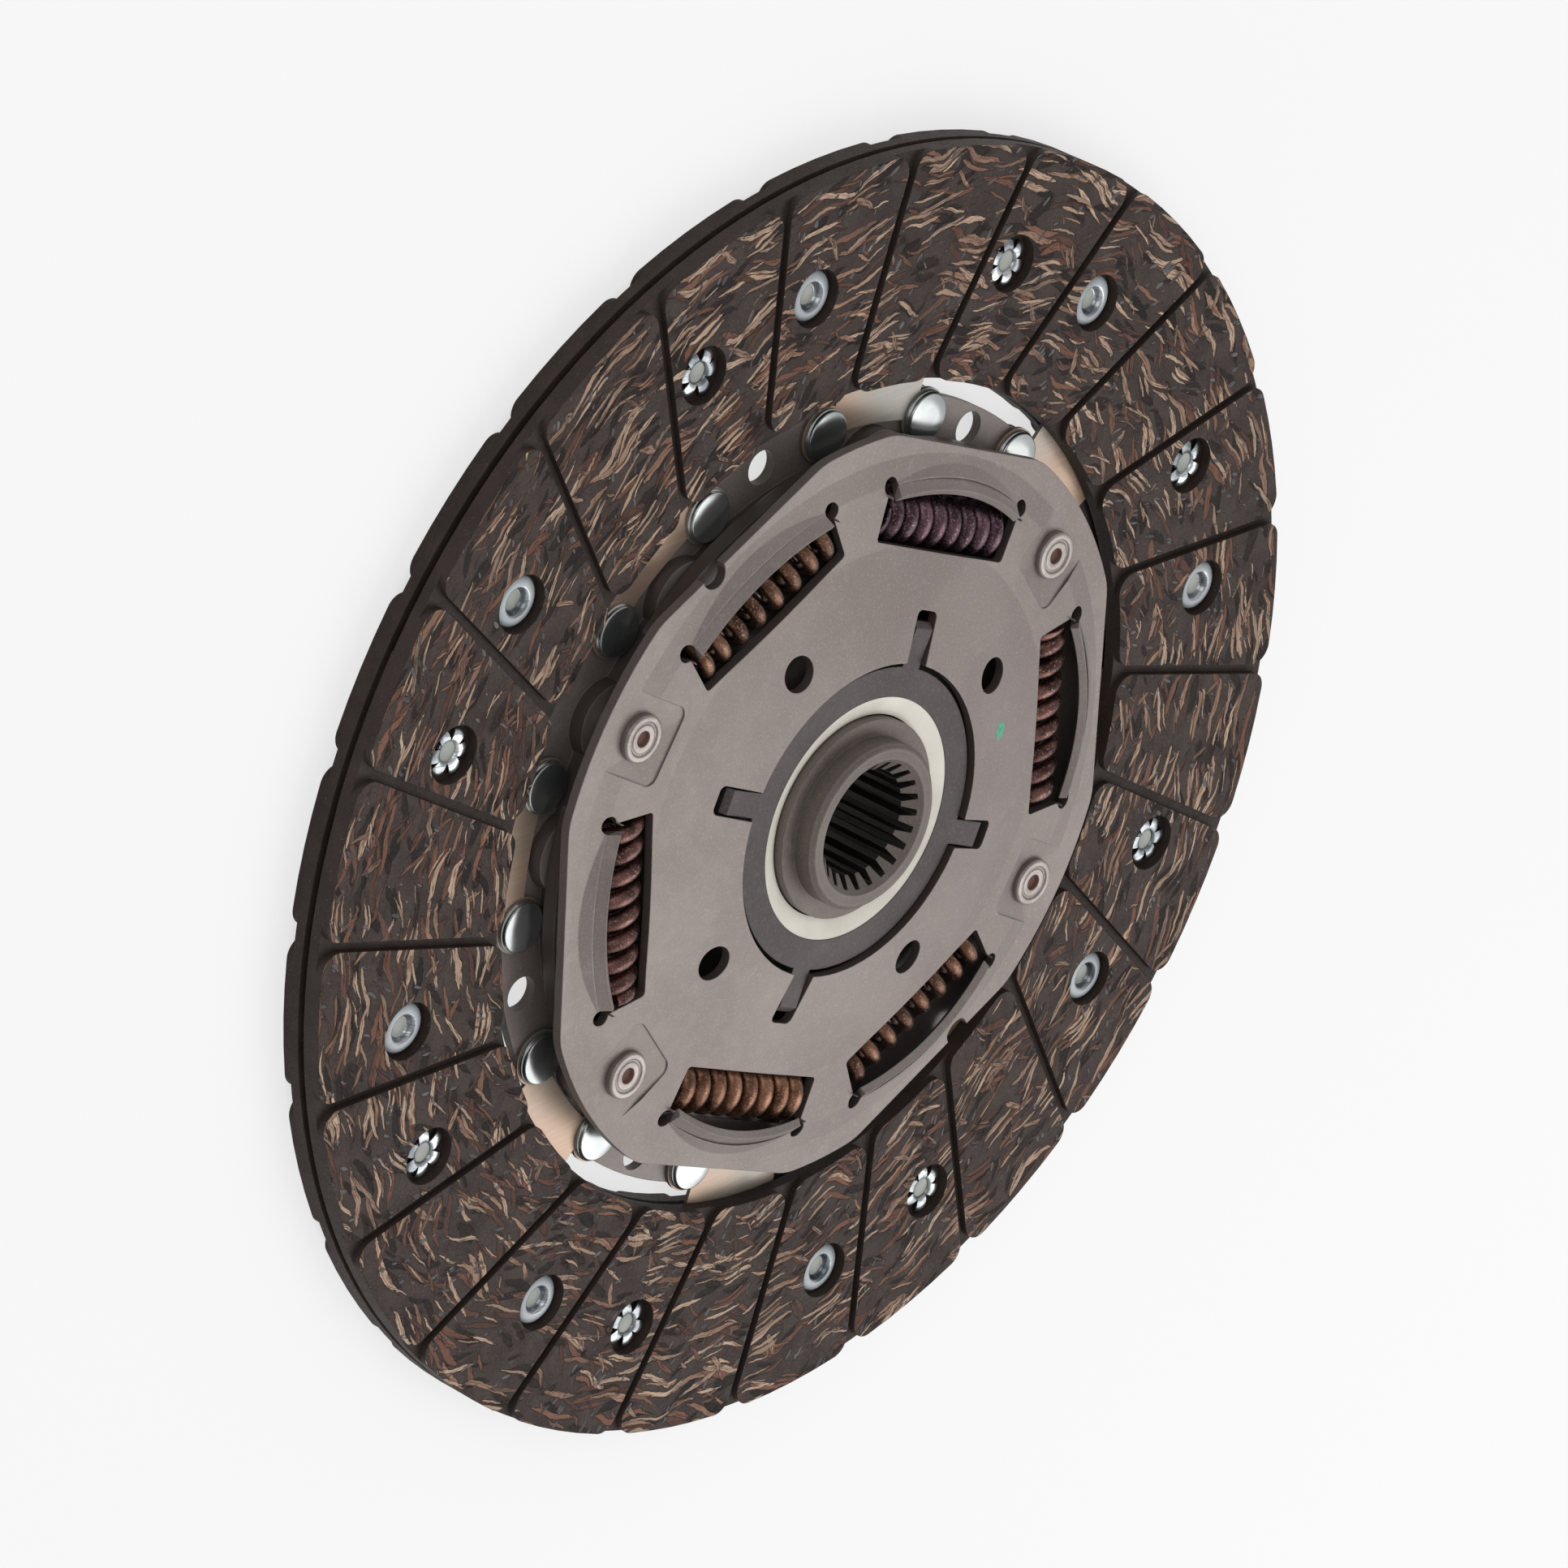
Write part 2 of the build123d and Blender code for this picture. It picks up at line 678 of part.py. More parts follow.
front_ring_bottom = flange_top + running_clearance
front_ring_upper = front_ring_bottom + friction_ring_thickness
revolved_ring(
    "front_bearing_ring",
    (ring_bore, bearing_core_bottom),
    (bearing_ring_outer_radius, bearing_core_bottom),
    (bearing_ring_outer_radius + bearing_flange_bottom - bearing_core_bottom, bearing_flange_bottom),
    (bearing_flange_radius, bearing_flange_bottom),
    (bearing_flange_radius, bearing_flange_top),
    (bearing_ring_outer_radius, bearing_flange_top),
    (bearing_ring_outer_radius, front_ring_top),
    (ring_bore, front_ring_top - bearing_ring_rim_drop),
)
revolved_ring(
    "front_friction_ring",
    (ring_bore, front_ring_bottom),
    (friction_ring_outer_radius, front_ring_bottom),
    (friction_ring_outer_radius, front_ring_upper),
    (ring_bore, front_ring_upper),
)
revolved_ring(
    "load_spring",
    (load_spring_inner_radius, front_ring_upper),
    (friction_ring_outer_radius, bearing_flange_bottom - load_spring_thickness),
    (friction_ring_outer_radius, bearing_flange_bottom),
    (load_spring_inner_radius, front_ring_upper + load_spring_thickness),
)
drive_flat_bottom = damper_middle - drive_flat_rise
drive_flat_top = drive_flat_bottom + plate_thickness
rear_flange_top = drive_flat_top + rear_flange_thickness
revolved_ring(
    "rear_bearing_ring",
    (ring_bore, drive_flat_bottom),
    (drive_plate_opening_radius - running_clearance, drive_flat_bottom),
    (drive_plate_opening_radius - running_clearance, drive_flat_top),
    (rear_flange_radius, drive_flat_top),
    (rear_flange_radius, rear_flange_top),
    (ring_bore, rear_flange_top),
)
revolved_ring(
    "rear_friction_ring",
    (ring_bore, rear_flange_top),
    (friction_ring_outer_radius, rear_flange_top),
    (friction_ring_outer_radius, flange_bottom - running_clearance),
    (ring_bore, flange_bottom - running_clearance),
)

# Finger ring: flat ring on the bearing ring's flange, its four fingers in the cover's slots
finger_top = bearing_flange_top + finger_ring_thickness
with BuildPart() as finger_ring:
    with BuildSketch(Plane.XY.offset(bearing_flange_top)):
        Circle(finger_ring_outer_radius)
        with PolarLocations(0, finger_count, start_angle=finger_phase):
            Rectangle(finger_reach, 2 * finger_half_width, align=(Align.MIN, Align.CENTER))
        Circle(bearing_ring_outer_radius + seat_fit, mode=Mode.SUBTRACT)
    extrude(amount=finger_ring_thickness)
    with BuildSketch(Plane.XZ.offset(-finger_half_width)) as tip:
        with BuildLine():
            Polyline(
                (finger_reach - 0.4, finger_top),
                (finger_reach, finger_top),
                (finger_tip_reach, finger_top - 1),
                (finger_tip_reach, finger_top - finger_tip_drop),
                (finger_tip_reach - 1, finger_top - finger_tip_drop),
                (finger_reach - 0.4, bearing_flange_top),
                close=True,
            )
        make_face()
    for finger in range(finger_count):
        with Locations(turned(finger_phase + finger * 360 / finger_count)):
            add(extrude(tip.sketch, amount=2 * finger_half_width, mode=Mode.PRIVATE))
finger_ring.part.label = "finger_ring"
export_step(finger_ring.part, "parts/finger_ring.step")


# Coil spring along +Z: hexagonal wire in straight steps, ends closed and ground flat
def coil_spring(wire_radius, coil_radius, turns, steps_per_turn, wire_sides):
    steps = round(turns * steps_per_turn)
    end_turn = steps_per_turn
    active_steps = steps - 2 * end_turn
    end_rise = 2 * wire_radius
    active_rise = 2 * spring_half_length - 2 * end_rise
    with BuildPart() as spring:
        for step in range(steps + 1):
            angle = 360 * step / steps_per_turn
            if step <= end_turn:
                height = end_rise * step / end_turn
            elif step <= steps - end_turn:
                height = end_rise + active_rise * (step - end_turn) / active_steps
            else:
                height = end_rise + active_rise + end_rise * (step - steps + end_turn) / end_turn
            section = Plane(
                origin=(*on_circle(coil_radius, angle), height - spring_half_length),
                x_dir=(*on_circle(1, angle), 0),
                z_dir=(*on_circle(1, angle + 90), 0),
            )
            with BuildSketch(section):
                RegularPolygon(wire_radius, wire_sides)
        loft(ruled=True)
        Box(4 * coil_radius, 4 * coil_radius, 2 * spring_half_length, mode=Mode.INTERSECT)
    return spring.part


# Each spring lies across its window at the middle plane, its axis square to the radius
def place_spring(name, spring, angle):
    with BuildPart() as placed:
        with Locations(turned(angle) * Pos(spring_circle, 0, damper_middle) * Rot(-90, 0, 0)):
            add(spring)
    placed.part.label = name
    export_step(placed.part, f"parts/{name}.step")


single_wire_radius = 1.6
stiff_wire_radius = 1.8
soft_wire_radius = 1.4
inner_wire_radius = 0.65
inner_spring_radius = 2.5
single_spring = coil_spring(single_wire_radius, spring_outer_radius - single_wire_radius, 8, 8, 6)
stiff_spring = coil_spring(stiff_wire_radius, spring_outer_radius - stiff_wire_radius, 7.5, 8, 6)
soft_spring = coil_spring(soft_wire_radius, spring_outer_radius - soft_wire_radius, 8.5, 8, 6)
inner_spring = coil_spring(inner_wire_radius, inner_spring_radius - inner_wire_radius, 12, 6, 4)
window_springs = (single_spring, stiff_spring, soft_spring, single_spring, stiff_spring, soft_spring)
for index, (spring, angle) in enumerate(zip(window_springs, spring_angles)):
    place_spring(f"damper_spring_{index + 1}", spring, angle)
place_spring("inner_spring_1", inner_spring, spring_angles[2])
place_spring("inner_spring_2", inner_spring, spring_angles[5])
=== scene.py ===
import math
import random

import bmesh
import bpy
from mathutils import Matrix, Vector


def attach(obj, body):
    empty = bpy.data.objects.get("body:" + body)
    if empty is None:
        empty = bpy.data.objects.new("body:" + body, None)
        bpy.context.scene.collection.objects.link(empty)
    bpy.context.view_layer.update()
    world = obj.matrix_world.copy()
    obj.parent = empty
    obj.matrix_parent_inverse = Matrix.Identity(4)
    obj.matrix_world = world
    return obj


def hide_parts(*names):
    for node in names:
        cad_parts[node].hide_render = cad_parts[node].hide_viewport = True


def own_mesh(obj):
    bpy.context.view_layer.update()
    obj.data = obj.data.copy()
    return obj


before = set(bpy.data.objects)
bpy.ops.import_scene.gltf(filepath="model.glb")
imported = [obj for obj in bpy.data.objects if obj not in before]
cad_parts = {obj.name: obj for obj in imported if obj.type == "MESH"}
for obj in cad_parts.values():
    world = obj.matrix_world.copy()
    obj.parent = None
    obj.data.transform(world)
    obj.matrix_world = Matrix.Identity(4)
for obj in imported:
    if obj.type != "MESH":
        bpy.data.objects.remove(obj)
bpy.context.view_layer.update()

# Looks of a clutch disc with a spring damper, in metres, lying on its rear facing.
# Lengths below are in millimetres unless a name says otherwise.

MM = 0.001
SHARP_ANGLE = math.radians(38)
# Points nearer to a lathe's axis than this lie on it, and points nearer to each other are one
ON_AXIS = 1e-6
WELD_DISTANCE = 1e-4

# Sizes that the pieces share with the solids
FACING_RIVET_CIRCLE = 99.5
FRONT_RIVET_ANGLE = 4.67
REAR_RIVET_ANGLE = 20.42
FACING_RIVET_COUNT = 8
FACING_MIDDLE = 4.2
FRONT_HEAD_SEAT = 6.1
REAR_HEAD_SEAT = 2.3
FACING_GRIP = 3.8
GROOVE_OFFSET = 23.9
GROOVE_PHASE = 11.15
FOOT_RIVET_CIRCLE = 69.8
FOOT_RIVET_HALF_ANGLE = 10.55
SEGMENT_PHASE = -10.29
SEGMENT_COUNT = 8
SEGMENT_PITCH = 360 / SEGMENT_COUNT
FOOT_FRONT = 4.55
FOOT_BACK = 2.05
SPACER_CIRCLE = 61.0
SPACER_ANGLES = (32.55, 147.45, 212.55, 327.45)
SPACER_FRONT_SEAT = 13.0
SPACER_REAR_SEAT = 5.0
SPRING_CIRCLE = 53.0
SPRING_MIDDLE = 9.0
SPRING_HALF_LENGTH = 17.6
SPRING_ANGLES = (0.0, 65.4, 114.6, 180.0, 245.4, 294.6)
SPRING_OUTER_RADIUS = 5.65
COVER_CONE_SLOPE = 0.163
DISH_RADIUS = 50.0
DISH_HEIGHT = 14.5
DISH_FALL = 0.052
RIM_BEND = 66.0

# Kind of spring, its finish and its slot, in the order of the spring angles
spring_rows = (
    ("single", "purple_brown_spring", "brown_spring"),
    ("stiff", "copper_spring", "copper_spring"),
    ("soft", "bronze_spring", "brown_spring"),
    ("single", "purple_brown_spring", "brown_spring"),
    ("dark", "dark_spring", "dark_spring"),
    ("soft", "bronze_spring", "brown_spring"),
)


# Values and nodes of a material

class Value:
    """A socket's value. Python arithmetic on it adds Math nodes."""

    def __init__(self, board, socket):
        self.board = board
        self.socket = socket

    def __add__(self, other):
        return self.board.maths("ADD", self, other)

    __radd__ = __add__

    def __sub__(self, other):
        return self.board.maths("SUBTRACT", self, other)

    def __rsub__(self, other):
        return self.board.maths("SUBTRACT", other, self)

    def __mul__(self, other):
        return self.board.maths("MULTIPLY", self, other)

    __rmul__ = __mul__

    def __truediv__(self, other):
        return self.board.maths("DIVIDE", self, other)

    def __rtruediv__(self, other):
        return self.board.maths("DIVIDE", other, self)


class Board:
    """The node board of one material or of the world."""

    def __init__(self, tree):
        self.tree = tree
        self.tree.nodes.clear()

    def node(self, kind, sockets=None, output=0, **settings):
        """Add a node: its settings first, then the values or links of its sockets."""
        made = self.tree.nodes.new(kind)
        for name, value in settings.items():
            setattr(made, name, value)
        for key, value in (sockets or {}).items():
            self.plug(made.inputs[key], value)
        return Value(self, made.outputs[output])

    def plug(self, socket, value):
        """Give a socket a link or a plain value."""
        if isinstance(value, Value):
            self.tree.links.new(value.socket, socket)
        elif socket.type == "RGBA":
            socket.default_value = (*value, 1.0)
        else:
            socket.default_value = value

    def maths(self, operation, first, second=0.0):
        """Result of a Math node on one or two numbers."""
        return self.node("ShaderNodeMath", {0: first, 1: second}, operation=operation)

    def vector(self, operation, first, second=(0, 0, 0)):
        """Result of a Vector Math node that is itself a vector."""
        return self.node("ShaderNodeVectorMath", {0: first, 1: second}, operation=operation)

    def ease(self, value, low, high):
        """0 below low, 1 above high, and a smooth rise between them."""
        sockets = {"Value": value, "From Min": low, "From Max": high}
        return self.node("ShaderNodeMapRange", sockets, interpolation_type="SMOOTHSTEP")

    def tint(self, share, under, over):
        """Colour that goes from one to the other as the share goes from 0 to 1."""
        sockets = {0: share, 6: under, 7: over}
        return self.node("ShaderNodeMix", sockets, output=2, data_type="RGBA", clamp_factor=True)

    def place(self):
        """Place on the object in millimetres, the same in every pose."""
        where = self.node("ShaderNodeTexCoord", output="Object")
        return self.vector("MULTIPLY", where, (1000, 1000, 1000))

    def stretched(self, where, *sizes):
        """Place divided by a size along each axis, for long or flat lumps."""
        return self.vector("DIVIDE", where, sizes)

    def noise(self, where, size, detail=2.0, rough=0.5):
        """Soft random value about 0.5, whose lumps are about one size across."""
        sockets = {"Vector": where, "Scale": 1 / size, "Detail": detail, "Roughness": rough}
        return self.node("ShaderNodeTexNoise", sockets)

    def upright(self):
        """1 where the surface lies flat, 0 on an upright wall."""
        facing = self.node("ShaderNodeTexCoord", output="Normal")
        return self.maths("ABSOLUTE", self.split(facing, 2))

    def rounded_normal(self, reach):
        """Normal that turns softly over sharp edges, as a small radius in millimetres does."""
        return self.node("ShaderNodeBevel", {"Radius": reach * MM}, samples=4)

    def worn_edge(self, reach):
        """1 on sharp edges and 0 away from them."""
        soft = self.rounded_normal(reach)
        true = self.node("ShaderNodeNewGeometry", output="True Normal")
        match = self.node(
            "ShaderNodeVectorMath", {0: soft, 1: true}, output="Value", operation="DOT_PRODUCT"
        )
        return self.ease(match, 0.985, 0.85)

    def split(self, where, axis):
        """One of the three numbers of a place or a colour."""
        return self.node("ShaderNodeSeparateXYZ", {0: where}, output=axis)

    def radius(self, where):
        """Distance from the hub axis."""
        along, across = self.split(where, 0), self.split(where, 1)
        return self.maths("SQRT", along * along + across * across)

    def bump(self, height, depth, edge=0.0):
        """Normal of a surface whose height runs from 0 to 1 over a depth in millimetres."""
        sockets = {"Strength": 1.0, "Distance": depth * MM, "Height": height}
        if edge:
            sockets["Normal"] = self.rounded_normal(edge)
        return self.node("ShaderNodeBump", sockets)

    def shade(self, **sockets):
        """Principled shader to the output; a socket's name is written with underscores."""
        named = {name.replace("_", " "): value for name, value in sockets.items()}
        shader = self.node("ShaderNodeBsdfPrincipled", named)
        self.node_output(shader, "ShaderNodeOutputMaterial")

    def node_output(self, shader, kind):
        """Send a shader to the board's output."""
        end = self.tree.nodes.new(kind)
        self.tree.links.new(shader.socket, end.inputs["Surface"])


def new_material(name):
    """An empty material and its board."""
    material = bpy.data.materials.new(name)
    material.use_nodes = True
    return material, Board(material.node_tree)


def on_circle(radius, angle):
    """Point at a radius and an angle in degrees round the hub axis."""
    return (radius * math.cos(math.radians(angle)), radius * math.sin(math.radians(angle)))


# Finishes

# Radius that sharp edges seem to have; the worn edge and the soft edge share it
LINING_EDGE = 0.25
STEEL_EDGE = 0.3


def lining_finish():
    """Dark friction lining, wound of fibre strands that lie along the ring at small leans."""
    material, board = new_material("friction_lining")
    where = board.place()
    along, across, height = (board.split(where, axis) for axis in range(3))
    from_axis = board.radius(where)
    level = board.maths("ABSOLUTE", height - FACING_MIDDLE)
    land = board.ease(level, 3.5, 4.1) * board.ease(board.upright(), 0.5, 0.9)
    # Turn round the axis, counted from the middle of a groove at every radius
    groove_lean = board.maths("ARCSINE", GROOVE_OFFSET / from_axis)
    turn = board.maths("ARCTAN2", across, along) - groove_lean - math.radians(GROOVE_PHASE)
    turn = board.maths("FRACT", turn / (2 * math.pi))
    # Place on the unrolled ring: way round at the rivet circle, and distance from the axis
    way_round = turn * 2 * math.pi * 100 + height * 5
    wound = board.node("ShaderNodeCombineXYZ", {0: way_round, 1: from_axis})
    for lump, reach in ((14.0, 7.0), (2.6, 0.9)):
        bend = board.node(
            "ShaderNodeTexNoise", {"Vector": where, "Scale": 1 / lump, "Detail": 1.0}, output="Color"
        )
        bend = board.vector("SUBTRACT", bend, (0.5, 0.5, 0.5))
        wound = board.vector("ADD", wound, board.vector("MULTIPLY", bend, (reach, reach, 0.0)))

    mottle = board.noise(where, 5.0, detail=3.0)
    grain = board.noise(where, 0.45, detail=3.0, rough=0.7)
    colour = board.tint(board.ease(mottle, 0.3, 0.7), (0.040, 0.0275, 0.0235), (0.062, 0.044, 0.038))
    colour = board.tint(board.ease(grain, 0.56, 0.80) * 0.5, colour, (0.11, 0.085, 0.076))
    colour = board.tint(board.ease(grain, 0.44, 0.24) * 0.7, colour, (0.012, 0.008, 0.007))
    relief = grain * 0.35 + mottle * 0.3

    beige, tan, copper = (0.56, 0.41, 0.30), (0.36, 0.235, 0.165), (0.19, 0.088, 0.057)
    rust, soot, grey = (0.085, 0.038, 0.027), (0.010, 0.0065, 0.0055), (0.16, 0.155, 0.155)
    # Each layer: lean against the ring's own direction, length and width of a strand's cell,
    # share of the cells that hold a strand, pale colour, dark colour, how far it stands out
    layers = (
        (-9, 10.0, 2.3, 0.42, (0.024, 0.016, 0.0135), soot, -0.6),
        (34, 7.0, 2.0, 0.30, (0.020, 0.013, 0.011), soot, -0.5),
        (16, 14.0, 1.8, 0.24, copper, rust, 0.2),
        (-24, 12.0, 1.6, 0.20, copper, rust, 0.3),
        (3, 16.0, 1.5, 0.26, tan, copper, 0.4),
        (-12, 15.0, 1.5, 0.26, beige, copper, 0.5),
        (21, 14.0, 1.4, 0.22, beige, rust, 0.5),
        (-44, 8.0, 1.3, 0.10, tan, rust, 0.4),
        (9, 12.0, 1.1, 0.20, beige, tan, 0.5),
        (68, 2.4, 1.0, 0.12, grey, (0.085, 0.08, 0.08), 0.2),
    )
    for lean, length, width, share, light, dark, rise in layers:
        sockets = {"Vector": wound, "Axis": (0, 0, 1), "Angle": math.radians(lean)}
        turned = board.node("ShaderNodeVectorRotate", sockets, rotation_type="AXIS_ANGLE")
        turned = board.vector("ADD", turned, (lean * 3.7, lean * 1.9, 0.0))
        cell = {"Vector": board.stretched(turned, length, width, 1.0), "Scale": 1.0, "Randomness": 0.85}
        distance = board.node("ShaderNodeTexVoronoi", cell, output="Distance", voronoi_dimensions="2D")
        lot = board.node("ShaderNodeTexVoronoi", cell, output="Color", voronoi_dimensions="2D")
        chance, shade, worn = (board.split(lot, axis) for axis in range(3))
        taken = board.ease(chance, 0.98 - share, 1 - share)
        reach = board.ease(chance, 1 - share, 1.0) * 0.22 + taken * 0.18
        rag = (board.noise(where, 0.55, detail=2.0, rough=0.6) - 0.5) * 0.22
        depth = reach - distance + rag
        held = taken * land
        # Painted shadow: each strand's rim is darkened where it meets the lining; the rim is also a small
        # dent in the relief
        rim = board.ease(depth, -0.11, 0.0) * held
        core = board.ease(depth, 0.0, 0.05) * held
        streak = board.noise(board.stretched(turned, 2.6, 0.22, 1.0), 1.0, detail=1.0)
        colour = board.tint(rim * 0.6, colour, (0.020, 0.012, 0.010))
        strand = board.tint(board.ease(shade, 0.1, 0.7), dark, light)
        strand = board.tint(board.ease(streak, 0.56, 0.40) * 0.85, strand, dark)
        colour = board.tint(core * (0.72 + worn * 0.28), colour, strand)
        relief = relief + core * rise - rim * 0.2
    # Painted shade: darker off the flat faces, in the grooves and on the walls
    colour = board.tint((1 - land) * 0.45, colour, (0.036, 0.028, 0.025))
    glint = board.ease(board.noise(where, 0.32, detail=1.0), 0.72, 0.8) * (1 - land)
    colour = board.tint(glint * 0.6, colour, (0.24, 0.235, 0.225))
    edge = board.worn_edge(LINING_EDGE) * board.ease(grain, 0.3, 0.6)
    colour = board.tint(edge * 0.4, colour, (0.10, 0.085, 0.078))
    board.shade(
        Base_Color=colour,
        Roughness=0.62 - board.ease(grain, 0.4, 0.7) * 0.16,
        Specular_IOR_Level=0.12,
        Normal=board.bump(relief, 0.2, edge=LINING_EDGE),
    )
    return material


def steel_finish(
    name, colour, dark, light, cut, metal, rough, grain_size=0.4, grain_depth=0.025, turned=False, bore=0.0,
    skin=0.0, specular=0.5,
):
    """Steel with clouds, fine grain, paler worn edges, darker upright walls and painted shade.

    Turned steel has tool rings. A bore gives painted shade to the walls inside its radius.
    A skin is the height of a dished plate at its bend: what rises above the dish is a pressed lip and
    not a cut wall, and the plate's downward faces beyond the springs get painted shade.
    """
    material, board = new_material(name)
    where = board.place()
    cloud = board.noise(where, 22.0, detail=3.0)
    spot = board.noise(where, 3.0, detail=4.0, rough=0.6)
    grain = board.noise(where, grain_size, detail=2.0, rough=0.6)
    wall = board.ease(board.upright(), 0.6, 0.3)
    if skin:
        from_axis = board.radius(where)
        inner = board.maths("MAXIMUM", DISH_RADIUS - from_axis, 0.0) * COVER_CONE_SLOPE
        outer = board.maths("MAXIMUM", from_axis - DISH_RADIUS, 0.0) * DISH_FALL
        over = board.split(where, 2) - inner + outer - skin
        facing = board.node("ShaderNodeTexCoord", output="Normal")
        # Painted shade: downward faces beyond about 55 mm from the axis, under the lips and hoods, take the
        # dark wall colour
        underside = board.ease(board.split(facing, 2), -0.1, -0.4) * board.ease(from_axis, 54.0, 56.0)
        rim = board.ease(from_axis, RIM_BEND, RIM_BEND + 0.8)
        wall = wall * board.ease(over, 0.12, 0.02) * (1 - rim * 0.6)
        wall = board.maths("MAXIMUM", wall, underside)
    tone = board.tint(board.ease(cloud, 0.35, 0.7), dark, colour)
    tone = board.tint(board.ease(spot, 0.56, 0.75) * 0.35, tone, light)
    tone = board.tint(board.ease(grain, 0.5, 0.75) * 0.5, tone, light)
    tone = board.tint(board.ease(grain, 0.48, 0.25) * 0.6, tone, dark)
    relief = grain
    gloss = rough + (spot - 0.5) * 0.25 + (grain - 0.5) * 0.12
    if turned:
        rings = board.node(
            "ShaderNodeCombineXYZ", {0: board.radius(where) * 4.0, 1: board.split(where, 2) * 4.0}
        )
        tool = board.noise(rings, 1.0, detail=2.0, rough=0.7)
        tone = board.tint(board.ease(tool, 0.35, 0.7) * 0.3, tone, light)
        relief = grain * 0.5 + tool * 0.8
        gloss = gloss + (tool - 0.5) * 0.1
    else:
        # Darker on upright walls in the colour given as cut, and painted shade on a skinned plate's
        # downward faces
        tone = board.tint(wall * 0.85, tone, cut)
    if bore:
        # Painted shade on the walls inside the bore
        inside = board.ease(board.radius(where), bore + 0.25, bore - 0.15) * wall
        tone = board.tint(inside * 0.9, tone, cut)
    edge = board.worn_edge(STEEL_EDGE) * board.ease(spot, 0.3, 0.6)
    tone = board.tint(edge * 0.55, tone, light)
    board.shade(
        Base_Color=tone,
        Metallic=metal,
        Roughness=gloss,
        Specular_IOR_Level=specular,
        Normal=board.bump(relief, grain_depth, edge=STEEL_EDGE),
    )
    return material


def leaf_finish():
    """Rolled spring steel of the cushion segments, with a bronze temper tint in clouds."""
    material, board = new_material("segment_steel")
    where = board.place()
    cloud = board.noise(where, 34.0, detail=1.0)
    rolled = board.noise(board.stretched(where, 12.0, 0.4, 1.0), 1.0, detail=2.0)
    fine = board.noise(where, 0.4, detail=2.0)
    tone = board.tint(board.ease(cloud, 0.34, 0.50), (0.36, 0.355, 0.325), (0.50, 0.355, 0.262))
    tone = board.tint(board.ease(rolled, 0.4, 0.7) * 0.3, tone, (0.62, 0.50, 0.42))
    tone = board.tint(board.ease(board.noise(where, 7.0), 0.6, 0.8) * 0.2, tone, (0.22, 0.18, 0.155))
    tone = board.tint(board.ease(fine, 0.6, 0.8) * 0.2, tone, (0.22, 0.18, 0.155))
    tone = board.tint(board.ease(board.upright(), 0.6, 0.3) * 0.7, tone, (0.10, 0.08, 0.07))
    rough = 0.34 + rolled * 0.16
    normal = board.bump(rolled * 0.6 + fine * 0.4, 0.012, edge=0.15)
    board.shade(Base_Color=tone, Metallic=0.55, Roughness=rough, Normal=normal)
    return material


def wire_finish(name, colour, dark, light):
    """Lacquered spring wire, speckled, with paler rubbed spots."""
    material, board = new_material(name)
    where = board.place()
    cloud = board.noise(where, 4.0, detail=2.0)
    speck = board.noise(where, 0.42, detail=3.0, rough=0.75)
    tone = board.tint(board.ease(cloud, 0.3, 0.7), dark, colour)
    tone = board.tint(board.ease(speck, 0.54, 0.7) * 0.6, tone, light)
    tone = board.tint(board.ease(speck, 0.45, 0.3) * 0.6, tone, dark)
    rough = 0.27 + (speck - 0.4) * 0.35
    board.shade(Base_Color=tone, Metallic=0.85, Roughness=rough, Normal=board.bump(speck, 0.035))
    return material


def polymer_finish(name, colour, dark, rough):
    """Moulded plastic or pressed lining, slightly mottled."""
    material, board = new_material(name)
    where = board.place()
    cloud = board.noise(where, 7.0, detail=3.0)
    grain = board.noise(where, 0.6, detail=2.0)
    tone = board.tint(board.ease(cloud, 0.3, 0.7), dark, colour)
    tone = board.tint(board.ease(grain, 0.55, 0.75) * 0.25, tone, dark)
    gloss = rough + (cloud - 0.5) * 0.2
    board.shade(Base_Color=tone, Roughness=gloss, Normal=board.bump(grain, 0.015))
    return material


def zinc_finish(name, colour, dark, rough, scuffs=0.3, metal=0.9):
    """Bright zinc with a faint blue-grey cloud and fine scuffs."""
    material, board = new_material(name)
    where = board.place()
    cloud = board.noise(where, 5.0, detail=1.0)
    scuff = board.noise(board.stretched(where, 3.0, 0.12, 3.0), 1.0, detail=2.0)
    tone = board.tint(board.ease(cloud, 0.3, 0.75), dark, colour)
    tone = board.tint(board.ease(scuff, 0.5, 0.75) * scuffs, tone, dark)
    gloss = rough + board.ease(scuff, 0.5, 0.7) * 0.05 + (cloud - 0.5) * 0.1
    board.shade(Base_Color=tone, Metallic=metal, Roughness=gloss, Normal=board.bump(scuff, 0.002))
    return material


